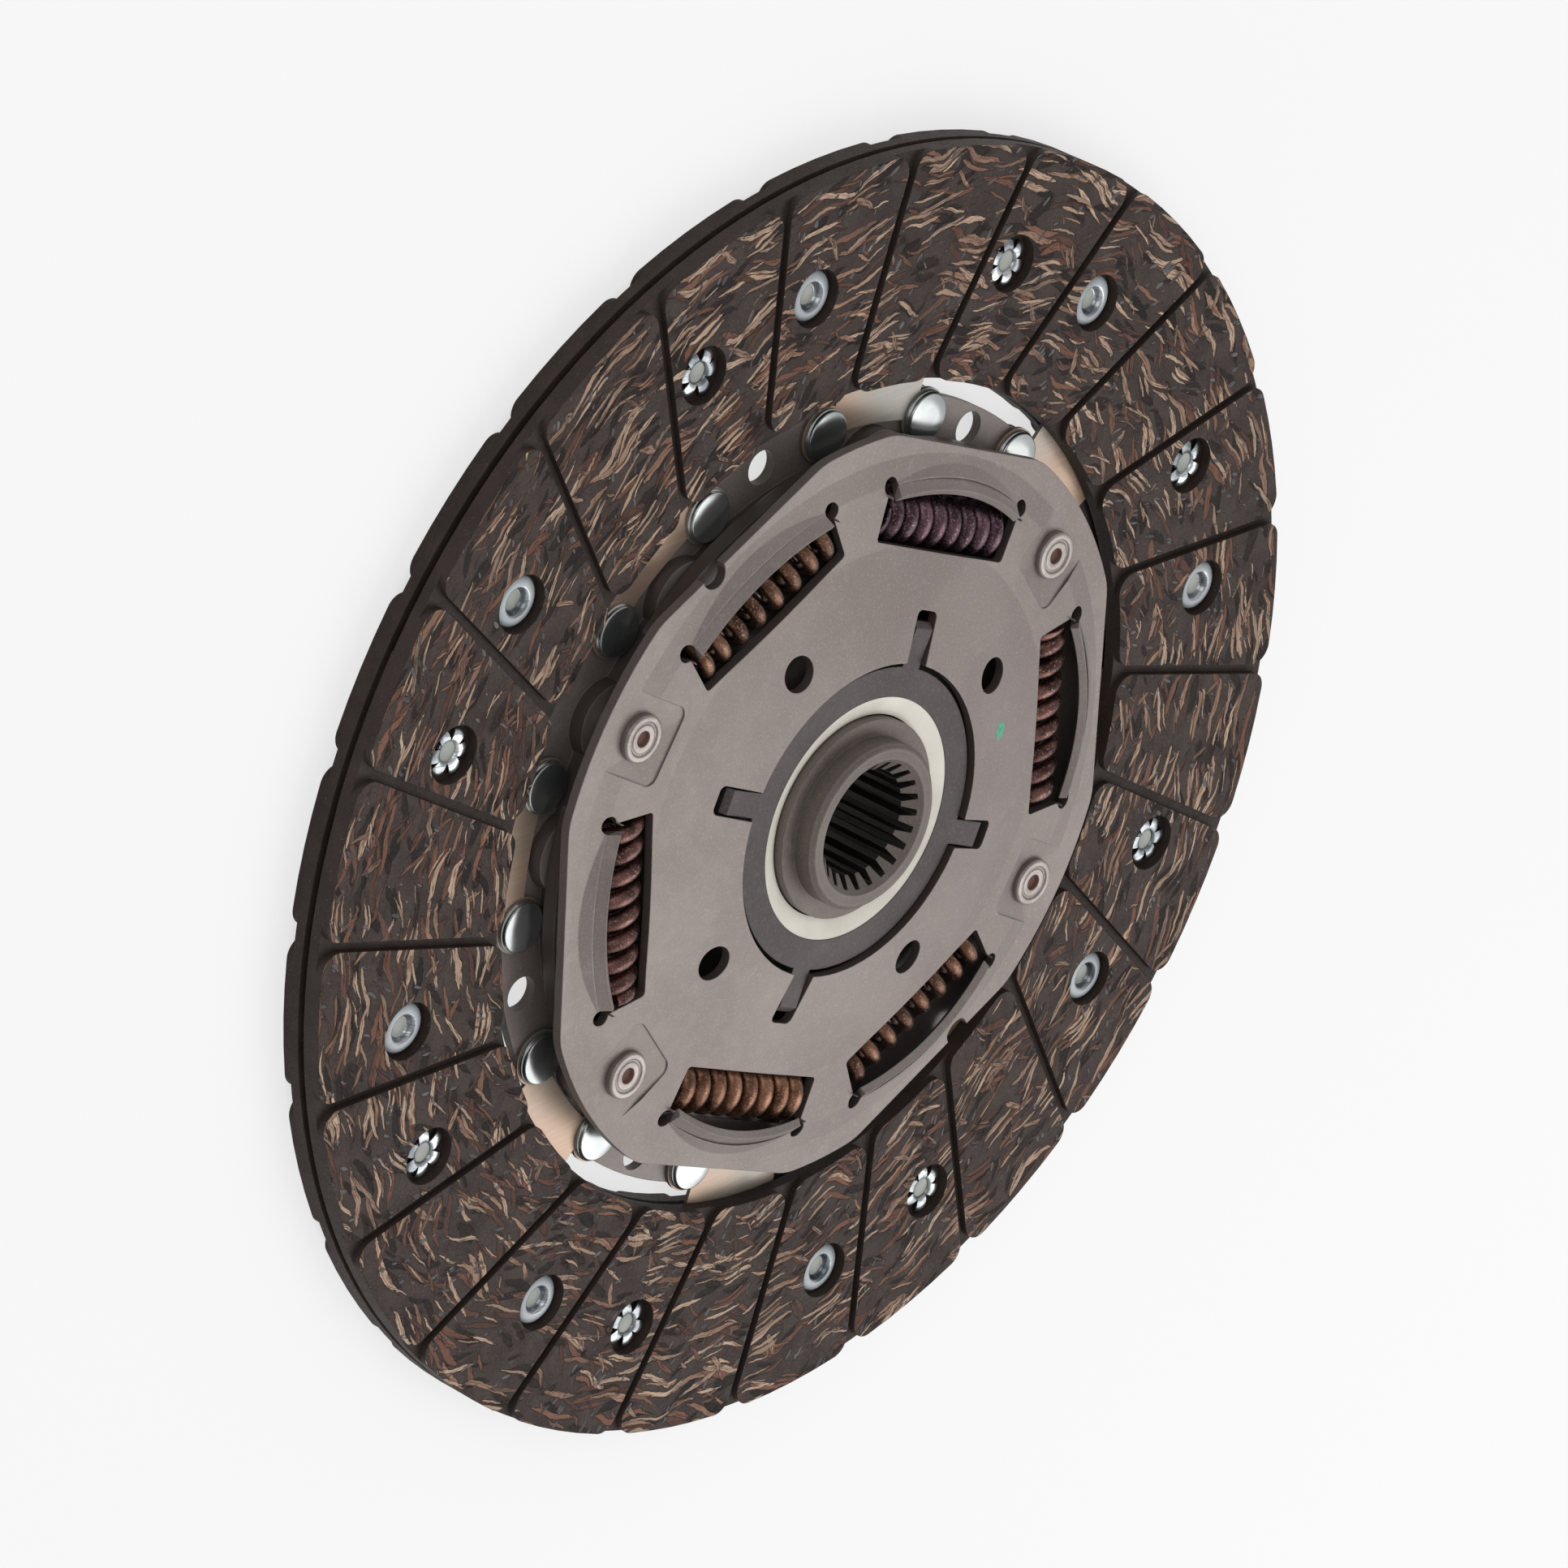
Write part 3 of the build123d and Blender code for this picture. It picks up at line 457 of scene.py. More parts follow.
def spacer_finish():
    """Spacer rivet steel, with rust in the eye of the head."""
    material, board = new_material("spacer_rivet_steel")
    where = board.place()
    cloud = board.noise(where, 4.0, detail=3.0)
    grain = board.noise(where, 0.5, detail=3.0, rough=0.6)
    # Distance from the rivet's own axis: the four rivets mirror each other across X and Y
    stand = on_circle(SPACER_CIRCLE, SPACER_ANGLES[0])
    aside = [board.maths("ABSOLUTE", board.split(where, axis)) - stand[axis] for axis in range(2)]
    from_rivet = board.maths("SQRT", aside[0] * aside[0] + aside[1] * aside[1])
    tone = board.tint(board.ease(cloud, 0.35, 0.65), (0.29, 0.25, 0.23), (0.38, 0.34, 0.315))
    tone = board.tint(board.ease(grain, 0.5, 0.75) * 0.5, tone, (0.52, 0.47, 0.44))
    # Painted shade in the groove between the head's rings
    valley = board.ease(from_rivet, 2.5, 2.7) * board.ease(from_rivet, 3.3, 3.1)
    tone = board.tint(valley * 0.45, tone, (0.16, 0.135, 0.12))
    tone = board.tint(board.ease(from_rivet, 3.9, 4.4) * 0.5, tone, (0.20, 0.165, 0.15))
    rust = board.ease(grain, 0.2, 0.35) * board.ease(from_rivet, 1.6, 1.4)
    tone = board.tint(rust * 0.95, tone, (0.11, 0.042, 0.024))
    board.shade(
        Base_Color=tone,
        Metallic=0.7 - rust * 0.6,
        Roughness=0.42 + rust * 0.3,
        Normal=board.bump(grain, 0.03),
    )
    return material


def paint_finish():
    """Green inspection paint."""
    material, board = new_material("green_paint")
    where = board.place()
    cloud = board.noise(where, 0.8, detail=3.0)
    tone = board.tint(board.ease(cloud, 0.35, 0.65), (0.045, 0.30, 0.17), (0.075, 0.42, 0.26))
    board.shade(Base_Color=tone, Roughness=0.4 + cloud * 0.2, Normal=board.bump(cloud, 0.03))
    return material


finishes = {
    "friction_lining": lining_finish(),
    "segment_steel": leaf_finish(),
    "cover_steel": steel_finish(
        "cover_steel", (0.245, 0.205, 0.190), (0.205, 0.168, 0.155), (0.36, 0.315, 0.295),
        (0.060, 0.046, 0.041), 0.3, 0.46, skin=DISH_HEIGHT,
    ),
    "drive_steel": steel_finish(
        "drive_steel", (0.245, 0.205, 0.190), (0.185, 0.153, 0.142), (0.33, 0.29, 0.27),
        (0.060, 0.048, 0.043), 0.3, 0.46,
    ),
    "flange_steel": steel_finish(
        "flange_steel", (0.085, 0.067, 0.061), (0.055, 0.044, 0.040), (0.15, 0.125, 0.115),
        (0.065, 0.052, 0.047), 0.3, 0.42,
    ),
    # The hub's near-black colour only paints the shade inside its bore
    "hub_steel": steel_finish(
        "hub_steel", (0.170, 0.142, 0.128), (0.120, 0.100, 0.090), (0.26, 0.222, 0.20),
        (0.007, 0.0055, 0.0048), 0.3, 0.5, turned=True, bore=12.3, specular=0.25,
    ),
    "finger_steel": steel_finish(
        "finger_steel", (0.074, 0.058, 0.058), (0.052, 0.041, 0.041), (0.135, 0.112, 0.110),
        (0.030, 0.025, 0.025), 0.3, 0.5, grain_size=0.55, grain_depth=0.04, specular=0.35,
    ),
    "bearing_polymer": polymer_finish("bearing_polymer", (0.86, 0.82, 0.735), (0.76, 0.715, 0.62), 0.38),
    "friction_ring": polymer_finish("friction_ring", (0.030, 0.027, 0.025), (0.018, 0.016, 0.015), 0.7),
    "bronze_spring": wire_finish(
        "bronze_spring", (0.16, 0.080, 0.050), (0.045, 0.020, 0.013), (0.60, 0.38, 0.27)
    ),
    "purple_brown_spring": wire_finish(
        "purple_brown_spring", (0.17, 0.083, 0.070), (0.045, 0.020, 0.018), (0.58, 0.38, 0.34)
    ),
    "copper_spring": wire_finish(
        "copper_spring", (0.27, 0.135, 0.082), (0.085, 0.036, 0.022), (0.62, 0.40, 0.28)
    ),
    "dark_spring": wire_finish(
        "dark_spring", (0.115, 0.062, 0.078), (0.032, 0.016, 0.022), (0.46, 0.33, 0.39)
    ),
    "inner_wire": wire_finish("inner_wire", (0.11, 0.085, 0.075), (0.05, 0.038, 0.034), (0.24, 0.2, 0.18)),
    "zinc_rivet": zinc_finish("zinc_rivet", (0.42, 0.455, 0.475), (0.30, 0.33, 0.35), 0.42, metal=0.15),
    "rolled_zinc": zinc_finish("rolled_zinc", (0.66, 0.69, 0.70), (0.13, 0.145, 0.16), 0.26, scuffs=1.0),
    "rivet_floor": polymer_finish("rivet_floor", (0.40, 0.41, 0.365), (0.27, 0.29, 0.26), 0.4),
    "foot_rivet_steel": zinc_finish(
        "foot_rivet_steel", (0.46, 0.48, 0.47), (0.37, 0.39, 0.39), 0.2, scuffs=0.15
    ),
    "spacer_rivet_steel": spacer_finish(),
    "green_paint": paint_finish(),
}

# Solids that keep their shape and get a finish
node_finishes = {
    "front_facing": "friction_lining",
    "rear_facing": "friction_lining",
    "cover_plate": "cover_steel",
    "drive_plate": "drive_steel",
    "hub_flange": "flange_steel",
    "hub": "hub_steel",
    "front_bearing_ring": "bearing_polymer",
    "rear_bearing_ring": "bearing_polymer",
    "front_friction_ring": "friction_ring",
    "rear_friction_ring": "friction_ring",
    "load_spring": "finger_steel",
    "finger_ring": "finger_steel",
    "front_facing_rivets": "zinc_rivet",
    "rear_facing_rivets": "zinc_rivet",
    "segment_rivets": "foot_rivet_steel",
    "spacer_rivets": "spacer_rivet_steel",
}
for index in range(SEGMENT_COUNT):
    node_finishes[f"cushion_segment_{index + 1}"] = "segment_steel"
for index, (_, finish, _) in enumerate(spring_rows):
    node_finishes[f"damper_spring_{index + 1}"] = finish
for index in range(2):
    node_finishes[f"inner_spring_{index + 1}"] = "inner_wire"
for node, finish in node_finishes.items():
    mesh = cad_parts[node].data
    mesh.materials.clear()
    mesh.materials.append(finishes[finish])


# Mesh helpers, in millimetres

def polar(radius, angle, height):
    """Place of a form that stands at an angle round the hub axis."""
    return Matrix.Translation((*on_circle(radius, angle), height)) @ Matrix.Rotation(
        math.radians(angle), 4, "Z"
    )


def rounded(corners, radius, steps=3):
    """Closed profile whose corners are cut to short arcs; a corner on the axis stays."""
    line = []
    count = len(corners)
    for index, corner in enumerate(corners):
        here = Vector(corner)
        before = Vector(corners[index - 1]) - here
        after = Vector(corners[(index + 1) % count]) - here
        if here.x < ON_AXIS:
            line.append(here)
            continue
        cut = min(radius, before.length * 0.45, after.length * 0.45)
        start = here + before.normalized() * cut
        end = here + after.normalized() * cut
        for step in range(steps + 1):
            share = step / steps
            line.append(
                start * (1 - share) ** 2 + here * 2 * share * (1 - share) + end * share ** 2
            )
    return line


def turn_on_lathe(form, profile, place, sides=48, marks=None):
    """Add a turned body from a closed profile of (radius, height) points.

    The marks give the number of another finish for the faces that start at a profile point.
    """
    marks = marks or {}
    rings = []
    for step in range(sides):
        angle = 2 * math.pi * step / sides
        rings.append(
            [
                form.verts.new(place @ Vector((p[0] * math.cos(angle), p[0] * math.sin(angle), p[1])))
                for p in profile
            ]
        )
    for step in range(sides):
        this, following = rings[step], rings[(step + 1) % sides]
        for index in range(len(profile)):
            after = (index + 1) % len(profile)
            on_axis = profile[index][0] < ON_AXIS
            next_on_axis = profile[after][0] < ON_AXIS
            if on_axis and next_on_axis:
                continue
            corners = [this[index], this[after], following[after], following[index]]
            if on_axis:
                corners.pop(3)
            if next_on_axis:
                corners.pop(2)
            form.faces.new(corners).material_index = marks.get(index, 0)


def piece_from(form, name, body, finish, slot, *replaced, further=()):
    """Make a piece of a form in millimetres; it rides on a body and stands for its nodes."""
    bmesh.ops.remove_doubles(form, verts=form.verts, dist=WELD_DISTANCE)
    bmesh.ops.recalc_face_normals(form, faces=form.faces)
    for face in form.faces:
        face.smooth = True
    for edge in form.edges:
        edge.smooth = edge.calc_face_angle(0) < SHARP_ANGLE
    bmesh.ops.scale(form, vec=(MM, MM, MM), verts=form.verts)
    mesh = bpy.data.meshes.new(name)
    form.to_mesh(mesh)
    form.free()
    for kind in (finish, *further):
        mesh.materials.append(finishes[kind])
    return piece_of(mesh, name, body, slot, *replaced)


def piece_of(mesh, name, body, slot, *replaced):
    """Put a finished mesh in the scene; it rides on a body and stands for its nodes."""
    piece = bpy.data.objects.new(name, mesh)
    bpy.context.scene.collection.objects.link(piece)
    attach(piece, body)
    if replaced:
        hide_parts(*replaced)
    return piece


# Damper springs: round wire, closed and ground ends

def coil(form, place, wire_radius, coil_radius, turns, steps_per_turn=36, wire_sides=18):
    """Add a coil spring along the local Z axis, its middle at the place."""
    end_rise = 2 * wire_radius
    active_rise = 2 * SPRING_HALF_LENGTH - 2 * end_rise
    steps = round(turns * steps_per_turn)
    rings = []
    for step in range(steps + 1):
        turn = turns * step / steps
        if turn <= 1:
            height = end_rise * turn
        elif turn <= turns - 1:
            height = end_rise + active_rise * (turn - 1) / (turns - 2)
        else:
            height = end_rise + active_rise + end_rise * (turn - turns + 1)
        angle = 2 * math.pi * turn
        outward = Vector((math.cos(angle), math.sin(angle), 0))
        centre = outward * coil_radius + Vector((0, 0, height - SPRING_HALF_LENGTH))
        ring = []
        for side in range(wire_sides):
            lean = 2 * math.pi * side / wire_sides
            point = centre + outward * wire_radius * math.cos(lean)
            point.z += wire_radius * math.sin(lean)
            point.z = max(-SPRING_HALF_LENGTH, min(SPRING_HALF_LENGTH, point.z))
            ring.append(form.verts.new(place @ point))
        rings.append(ring)
    for this, following in zip(rings, rings[1:]):
        for side in range(wire_sides):
            after = (side + 1) % wire_sides
            form.faces.new((this[side], this[after], following[after], following[side]))
    form.faces.new(rings[0])
    form.faces.new(rings[-1])


# Radius of the wire and number of turns
spring_sizes = {"single": (1.6, 8.8), "stiff": (1.8, 8.3), "dark": (1.8, 8.8), "soft": (1.4, 8.5)}
THIN_WIRE_RADIUS = 0.65
THIN_COIL_RADIUS = 1.85
THIN_TURNS = 12
for index, ((kind, finish, slot), angle) in enumerate(zip(spring_rows, SPRING_ANGLES)):
    wire_radius, turns = spring_sizes[kind]
    place = polar(SPRING_CIRCLE, angle, SPRING_MIDDLE) @ Matrix.Rotation(math.radians(-90), 4, "X")
    form = bmesh.new()
    coil(form, place, wire_radius, SPRING_OUTER_RADIUS - wire_radius, turns)
    name = f"round_wire_spring_{index + 1}"
    piece = piece_from(form, name, "damper_springs", finish, slot, f"damper_spring_{index + 1}")
    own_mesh(piece)
    if kind == "soft":
        number = 1 if index == 2 else 2
        form = bmesh.new()
        coil(form, place, THIN_WIRE_RADIUS, THIN_COIL_RADIUS, THIN_TURNS, steps_per_turn=24, wire_sides=10)
        name = f"thin_wire_spring_{number}"
        inner = f"inner_spring_{number}"
        piece = piece_from(form, name, "damper_springs", "inner_wire", "inner_wire", inner)
        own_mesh(piece)


# Rivets of the facings: domed heads with a shallow bore, and tails split in rolled petals

PETALS = 6
PETAL_THICKNESS = 0.3
PETAL_BEND = 2.2
# Numbers of the further finishes on a rivet's faces
ROLLED = 1
FLOOR = 2
# Profile of a petal from the crown to its tip, as radius and height over the counterbore floor
petal_roll = (
    (1.9, 0.70), (2.0, 0.92), (2.2, 1.08), (2.6, 1.2), (3.1, 1.24), (3.6, 1.21), (4.1, 1.12), (4.55, 0.96),
    (4.85, 0.72), (4.95, 0.45),
)


def rolled_tail(form, place, chance):
    """Petals of a tubular rivet's tail, rolled outwards; local Z points out of the tail."""
    across = 6
    for petal in range(PETALS):
        middle = 2 * math.pi * (petal + chance.uniform(-0.1, 0.1)) / PETALS
        reach = chance.uniform(0.84, 1.0)
        lift = chance.uniform(-0.2, 0.12)
        twist = chance.uniform(-0.2, 0.2)
        layers = []
        for level in (0.0, -PETAL_THICKNESS):
            grid = []
            for radius, height in petal_roll:
                out = max(0.0, (radius - PETAL_BEND) / 2.75)
                half_width = math.pi / PETALS * (0.96 - 0.5 * out ** 0.7)
                row = []
                for step in range(across + 1):
                    side = 2 * step / across - 1
                    angle = middle + half_width * side
                    shorter = max(0.0, radius - PETAL_BEND) * (1 - reach)
                    spread = radius - shorter - 0.15 * out ** 3 * side ** 4
                    rise = height + level + lift * out - 0.22 * out * side ** 2 + twist * out * side
                    rise = max(0.03, rise)
                    point = (spread * math.cos(angle), spread * math.sin(angle), rise)
                    row.append(form.verts.new(place @ Vector(point)))
                grid.append(row)
            layers.append(grid)
        faces = []
        for grid in layers:
            for first, second in zip(grid, grid[1:]):
                for step in range(across):
                    corners = (first[step], first[step + 1], second[step + 1], second[step])
                    faces.append(form.faces.new(corners))
        rims = [
            grid[0] + [row[-1] for row in grid[1:]] + grid[-1][-2::-1] + [row[0] for row in grid[-2:0:-1]]
            for grid in layers
        ]
        count = len(rims[0])
        for index in range(count):
            after = (index + 1) % count
            faces.append(form.faces.new((rims[0][index], rims[0][after], rims[1][after], rims[1][index])))
        for face in faces:
            face.material_index = ROLLED


# Head from its floor outwards, then the shank and the crown of the tail round its own floor
head_line = (
    (0.0, -0.22), (1.85, -0.2), (2.0, -0.1), (2.15, 0.35), (2.4, 0.85), (2.62, 1.1), (2.85, 1.22),
    (3.2, 1.24), (3.7, 1.14), (4.2, 0.94), (4.5, 0.72), (4.6, 0.55), (4.6, 0.12), (4.5, 0.0), (2.6, 0.0),
)
tail_line = (
    (2.6, 0.0), (2.6, 0.3), (2.45, 0.7), (2.25, 0.88), (2.05, 0.95), (1.9, 0.85), (1.8, 0.55),
    (1.7, 0.5), (0.0, 0.48),
)
rivet_profile = [Vector(point) for point in head_line]
rivet_profile += [Vector((radius, -FACING_GRIP - height)) for radius, height in tail_line]
rivet_marks = {0: FLOOR, 1: ROLLED, 2: ROLLED, 3: ROLLED, 4: ROLLED, 5: ROLLED}
for index in range(len(head_line), len(rivet_profile) - 3):
    rivet_marks[index] = ROLLED
rivet_marks[len(rivet_profile) - 3] = FLOOR
rivet_marks[len(rivet_profile) - 2] = FLOOR
chance = random.Random(41)
for side, seat, phase in (
    ("front", FRONT_HEAD_SEAT, FRONT_RIVET_ANGLE),
    ("rear", REAR_HEAD_SEAT, REAR_RIVET_ANGLE),
):
    form = bmesh.new()
    for index in range(FACING_RIVET_COUNT):
        place = polar(FACING_RIVET_CIRCLE, phase + index * SEGMENT_PITCH, seat)
        if side == "rear":
            place = place @ Matrix.Rotation(math.pi, 4, "X")
        turn_on_lathe(form, rivet_profile, place, sides=40, marks=rivet_marks)
        tail = place @ Matrix.Translation((0, 0, -FACING_GRIP)) @ Matrix.Rotation(math.pi, 4, "X")
        tail = tail @ Matrix.Rotation(chance.uniform(0, math.pi), 4, "Z")
        rolled_tail(form, tail, chance)
    piece_from(
        form, f"{side}_hollow_rivets", "disc", "zinc_rivet", "zinc_rivet", f"{side}_facing_rivets",
        further=("rolled_zinc", "rivet_floor"),
    )


# Rivets of the segments' feet: flat heads with a step below the rim

form = bmesh.new()
foot_profile = rounded(
    [
        (0.0, FOOT_FRONT + 1.48),
        (2.4, FOOT_FRONT + 1.45),
        (4.55, FOOT_FRONT + 1.34),
        (4.62, FOOT_FRONT + 0.75),
        (4.9, FOOT_FRONT + 0.62),
        (4.9, FOOT_FRONT),
        (2.9, FOOT_FRONT),
        (2.9, FOOT_BACK),
        (4.9, FOOT_BACK),
        (4.9, FOOT_BACK - 0.62),
        (4.62, FOOT_BACK - 0.75),
        (4.55, FOOT_BACK - 1.40),
        (0.0, FOOT_BACK - 1.45),
    ],
    0.28,
)
for index in range(SEGMENT_COUNT):
    for side in (-1, 1):
        angle = SEGMENT_PHASE + index * SEGMENT_PITCH + side * FOOT_RIVET_HALF_ANGLE
        turn_on_lathe(form, foot_profile, polar(FOOT_RIVET_CIRCLE, angle, 0), sides=48)
piece_from(form, "foot_rivets", "disc", "foot_rivet_steel", "foot_rivet_steel", "segment_rivets")


# Spacer rivets: stout column, ringed head with an eye on the cover side

form = bmesh.new()
spacer_profile = rounded(
    [
        (0.0, SPACER_FRONT_SEAT + 0.45),
        (1.2, SPACER_FRONT_SEAT + 0.5),
        (1.5, SPACER_FRONT_SEAT + 1.22),
        (2.5, SPACER_FRONT_SEAT + 1.3),
        (2.7, SPACER_FRONT_SEAT + 1.12),
        (3.05, SPACER_FRONT_SEAT + 1.12),
        (3.3, SPACER_FRONT_SEAT + 1.45),
        (4.05, SPACER_FRONT_SEAT + 1.42),
        (4.4, SPACER_FRONT_SEAT + 1.1),
        (4.4, SPACER_FRONT_SEAT),
        (3.0, SPACER_FRONT_SEAT),
        (3.0, SPACER_FRONT_SEAT - 1.8),
        (4.25, SPACER_FRONT_SEAT - 1.8),
        (4.25, SPACER_REAR_SEAT + 1.8),
        (3.0, SPACER_REAR_SEAT + 1.8),
        (3.0, SPACER_REAR_SEAT),
        (4.4, SPACER_REAR_SEAT),
        (4.4, SPACER_REAR_SEAT - 1.0),
        (3.9, SPACER_REAR_SEAT - 1.4),
        (0.0, SPACER_REAR_SEAT - 1.45),
    ],
    0.14,
)
for angle in SPACER_ANGLES:
    turn_on_lathe(form, spacer_profile, polar(SPACER_CIRCLE, angle, 0), sides=56)
piece_from(form, "ringed_spacer_rivets", "disc", "spacer_rivet_steel", "foot_rivet_steel", "spacer_rivets")


# Cover plate: the seats of its spacer rivets run out in ramps

SEAT_HALF_WIDTH = 7.5
SEAT_REACH = (52.0, 55.6)
SEAT_RAMP_RISE = 1.0
SAME_HEIGHT = 0.02
cover_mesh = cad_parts["cover_plate"].data.copy()
cover_mesh.name = "pressed_cover"
for vertex in cover_mesh.vertices:
    here = vertex.co / MM
    for angle in SPACER_ANGLES:
        local = Matrix.Rotation(math.radians(-angle), 4, "Z") @ here
        on_seat = abs(local.y) < SEAT_HALF_WIDTH and SEAT_REACH[0] < local.x < SEAT_REACH[1]
        if on_seat and abs(local.z - SPACER_FRONT_SEAT) < SAME_HEIGHT:
            vertex.co.z += SEAT_RAMP_RISE * MM
piece_of(cover_mesh, "pressed_cover", "disc", "cover_steel", "cover_plate")


# Hoods: the plates' lips, pressed up at the outer side of each spring

HOOD_HALF_WIDTH = 17.1
HOOD_THICKNESS = 1.5
HOOD_LEAN = math.radians(50)
# Crease and free edge: distance from the hub axis at the ends, and how much more in the middle
HOOD_CREASE = (60.0, 3.8)
HOOD_EDGE = (57.3, 3.1)
HOOD_EDGE_HEIGHT = (15.6, 0.5)
# Outer skin of a plate as radius and height
dish_line = (
    (0.0, DISH_HEIGHT + DISH_RADIUS * COVER_CONE_SLOPE),
    (DISH_RADIUS, DISH_HEIGHT),
    (61.5, 13.9),
    (RIM_BEND, SPACER_FRONT_SEAT),
    (90.0, SPACER_FRONT_SEAT),
)


def dish_height(radius):
    """Height of the plate's outer skin at a distance from the hub axis."""
    for (near, high), (far, low) in zip(dish_line, dish_line[1:]):
        if radius <= far:
            return high + (low - high) * (radius - near) / (far - near)
    return dish_line[-1][1]


def hood(form, angle, mirrored):
    """Add one hood, a curved strip between its crease in the plate and its free edge."""
    along, across = 30, 12
    turned = Matrix.Rotation(math.radians(angle), 4, "Z")
    skins = []
    for depth in (0.0, HOOD_THICKNESS):
        grid = []
        for row in range(along + 1):
            y = HOOD_HALF_WIDTH * (2 * row / along - 1)
            swell = 1 - (y / HOOD_HALF_WIDTH) ** 2
            crease, edge, top = (
                ends + more * swell for ends, more in (HOOD_CREASE, HOOD_EDGE, HOOD_EDGE_HEIGHT)
            )
            foot = dish_height(math.hypot(crease, y)) - 0.1
            line = []
            for step in range(across + 1):
                share = step / across
                height = foot + (top - foot) * share ** 1.35
                place = Vector((crease + (edge - crease) * share, y, height))
                place -= Vector((math.sin(HOOD_LEAN), 0, math.cos(HOOD_LEAN))) * depth
                if mirrored:
                    place.z = 2 * SPRING_MIDDLE - place.z
                line.append(form.verts.new(turned @ place))
            grid.append(line)
        skins.append(grid)
    for grid in skins:
        for first, second in zip(grid, grid[1:]):
            for step in range(across):
                form.faces.new((first[step], first[step + 1], second[step + 1], second[step]))
    rims = [
        grid[0] + [line[-1] for line in grid[1:]] + grid[-1][-2::-1] + [line[0] for line in grid[-2:0:-1]]
        for grid in skins
    ]
    count = len(rims[0])
    for index in range(count):
        after = (index + 1) % count
        form.faces.new((rims[0][index], rims[0][after], rims[1][after], rims[1][index]))


for side, finish in (("front", "cover_steel"), ("rear", "drive_steel")):
    form = bmesh.new()
    for angle in SPRING_ANGLES:
        hood(form, angle, side == "rear")
    piece_from(form, f"{side}_spring_hoods", "disc", finish, finish)


# Inspection dab of paint on the cover plate

DAB_ANGLE = 186.5
DAB_CIRCLE = 37.1
DAB_HALF_SIZES = (1.05, 1.75)
DAB_STEPS = 28
form = bmesh.new()
rings = []
for share, rise in ((1.0, 0.006), (0.85, 0.045), (0.5, 0.07)):
    ring = []
    for step in range(DAB_STEPS):
        angle = 2 * math.pi * step / DAB_STEPS
        swell = (1 + 0.16 * math.sin(2 * angle + 0.6) + 0.07 * math.sin(5 * angle)) * share
        out = DAB_CIRCLE + DAB_HALF_SIZES[0] * swell * math.cos(angle)
        aside = DAB_HALF_SIZES[1] * swell * math.sin(angle)
        spot = Matrix.Rotation(math.radians(DAB_ANGLE), 4, "Z") @ Vector((out, aside, 0))
        spot.z = DISH_HEIGHT + COVER_CONE_SLOPE * (DISH_RADIUS - spot.to_2d().length) + rise
        ring.append(form.verts.new(spot))
    rings.append(ring)
for outer, inner in zip(rings, rings[1:]):
    for step in range(DAB_STEPS):
        after = (step + 1) % DAB_STEPS
        form.faces.new((outer[step], outer[after], inner[after], inner[step]))
form.faces.new(rings[-1])
form.faces.new(rings[0])
piece_from(form, "inspection_dab", "disc", "green_paint", "cover_steel")


# Floor, lamps, world and camera, in metres

FLOOR_REACH = 4.0
FLOOR_DROP = 0.0001
FLOOR_WHITE = 0.68
SKY_BRIGHT_SIDE = (-0.75, 0.60, 0.28)
SKY_DIM = 0.46
SKY_RISE = 0.34
CAMERA_PLACE = (1.0058, -0.7421, 0.9200)
CAMERA_ACROSS = (-0.6933, -0.0478, 0.7190)
CAMERA_AWAY = (-0.6479, 0.4782, -0.5929)
CAMERA_LENS = 204.4


def floor_finish():
    """White floor that keeps the disc's soft shadow."""
    material, board = new_material("studio_floor")
    seen = board.node("ShaderNodeLightPath", output="Is Camera Ray")
    mirrored = board.node("ShaderNodeLightPath", output="Is Glossy Ray")
    through = board.node("ShaderNodeLightPath", output="Is Transmission Ray")
    share = board.maths("MINIMUM", seen + mirrored + through, 1.0) * FLOOR_WHITE
    paper = board.node("ShaderNodeBsdfDiffuse", {"Color": (0.88, 0.88, 0.88)})
    white = board.node("ShaderNodeEmission", {"Color": (1, 1, 1), "Strength": 1.0})
    both = board.node("ShaderNodeMixShader", {0: share, 1: paper, 2: white})
    board.node_output(both, "ShaderNodeOutputMaterial")
    return material


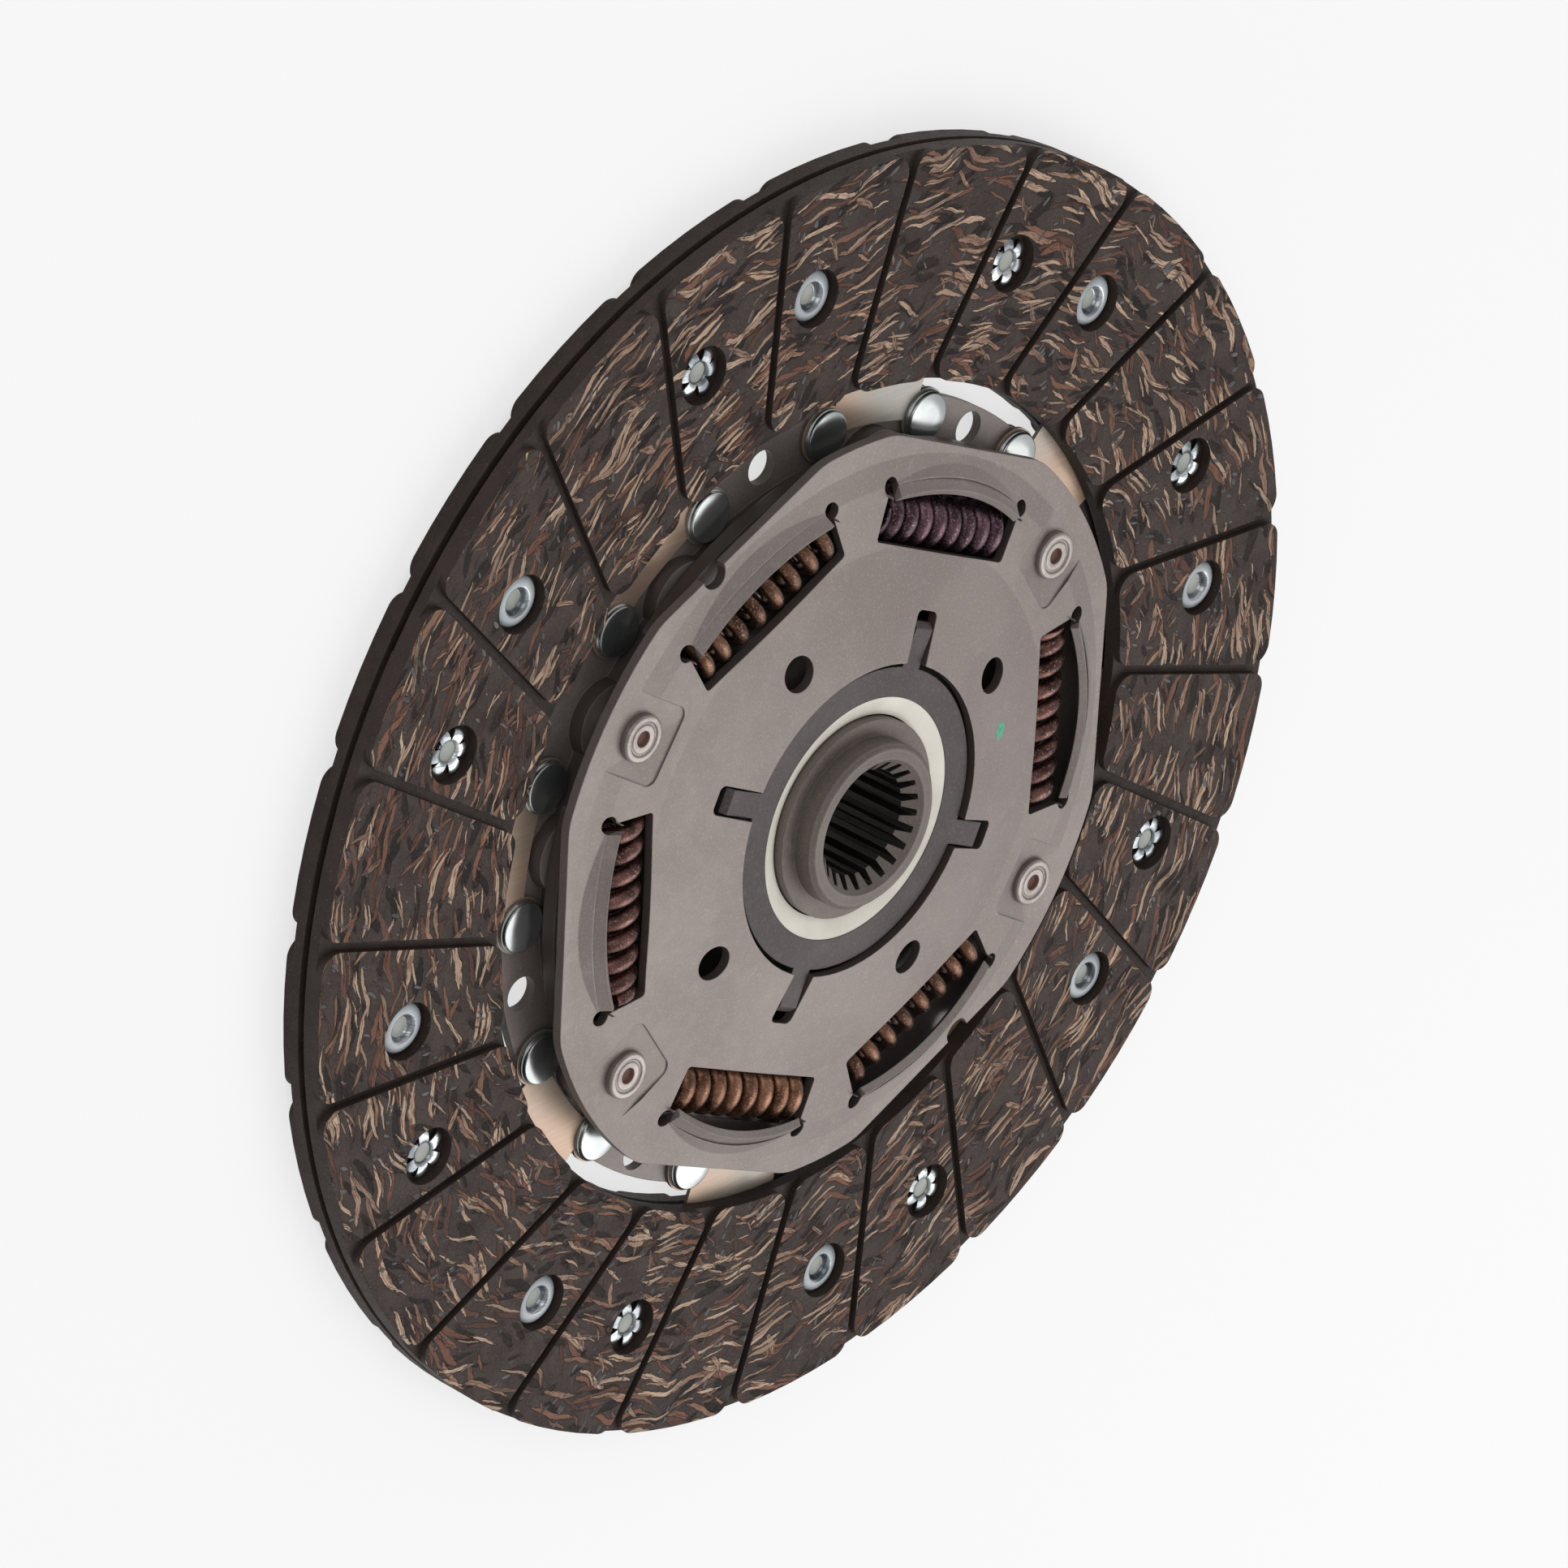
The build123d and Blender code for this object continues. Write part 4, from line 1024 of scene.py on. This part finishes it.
floor_mesh = bpy.data.meshes.new("studio_floor")
floor_mesh.from_pydata(
    [(x * FLOOR_REACH, y * FLOOR_REACH, -FLOOR_DROP) for x, y in ((-1, -1), (1, -1), (1, 1), (-1, 1))],
    [],
    [(0, 1, 2, 3)],
)
floor_mesh.materials.append(floor_finish())
floor = bpy.data.objects.new("studio_floor", floor_mesh)
bpy.context.scene.collection.objects.link(floor)

world = bpy.data.worlds.new("studio_white")
bpy.context.scene.world = world
world.use_nodes = True
sky = Board(world.node_tree)
direction = sky.node("ShaderNodeTexCoord", output="Generated")
lean = sky.node(
    "ShaderNodeVectorMath", {0: direction, 1: SKY_BRIGHT_SIDE}, output="Value", operation="DOT_PRODUCT"
)
brightness = SKY_DIM + sky.ease(lean, -0.5, 0.9) * SKY_RISE
sky.node_output(
    sky.node("ShaderNodeBackground", {"Color": (1, 1, 1), "Strength": brightness}), "ShaderNodeOutputWorld"
)


def lamp(name, place, target, size, power):
    """Add a square soft lamp that shines at a target."""
    light = bpy.data.lights.new(name, "AREA")
    light.shape = "SQUARE"
    light.size = size
    light.energy = power
    holder = bpy.data.objects.new(name, light)
    holder.location = place
    holder.rotation_euler = (Vector(target) - Vector(place)).to_track_quat("-Z", "Y").to_euler()
    bpy.context.scene.collection.objects.link(holder)


# Photograph's camera: across, down and away are its axes in the part's frame
across = Vector(CAMERA_ACROSS).normalized()
away = Vector(CAMERA_AWAY).normalized()
down = away.cross(across).normalized()
across = down.cross(away).normalized()
camera_data = bpy.data.cameras.new("photo_camera")
camera_data.sensor_fit = "HORIZONTAL"
camera_data.sensor_width = 36.0
camera_data.lens = CAMERA_LENS
camera_data.clip_end = 50.0
camera = bpy.data.objects.new("photo_camera", camera_data)
turn = Matrix((across, -down, -away)).transposed().to_4x4()
camera.matrix_world = Matrix.Translation(CAMERA_PLACE) @ turn
bpy.context.scene.collection.objects.link(camera)
bpy.context.scene.camera = camera

lamp("key_lamp", (-0.55, 0.75, 1.0), (0, 0, 0), 1.1, 7.0)
lamp("fill_lamp", (0.9, -0.9, 0.7), (0, 0, 0), 0.9, 3.0)

bpy.context.scene.view_settings.view_transform = "Standard"
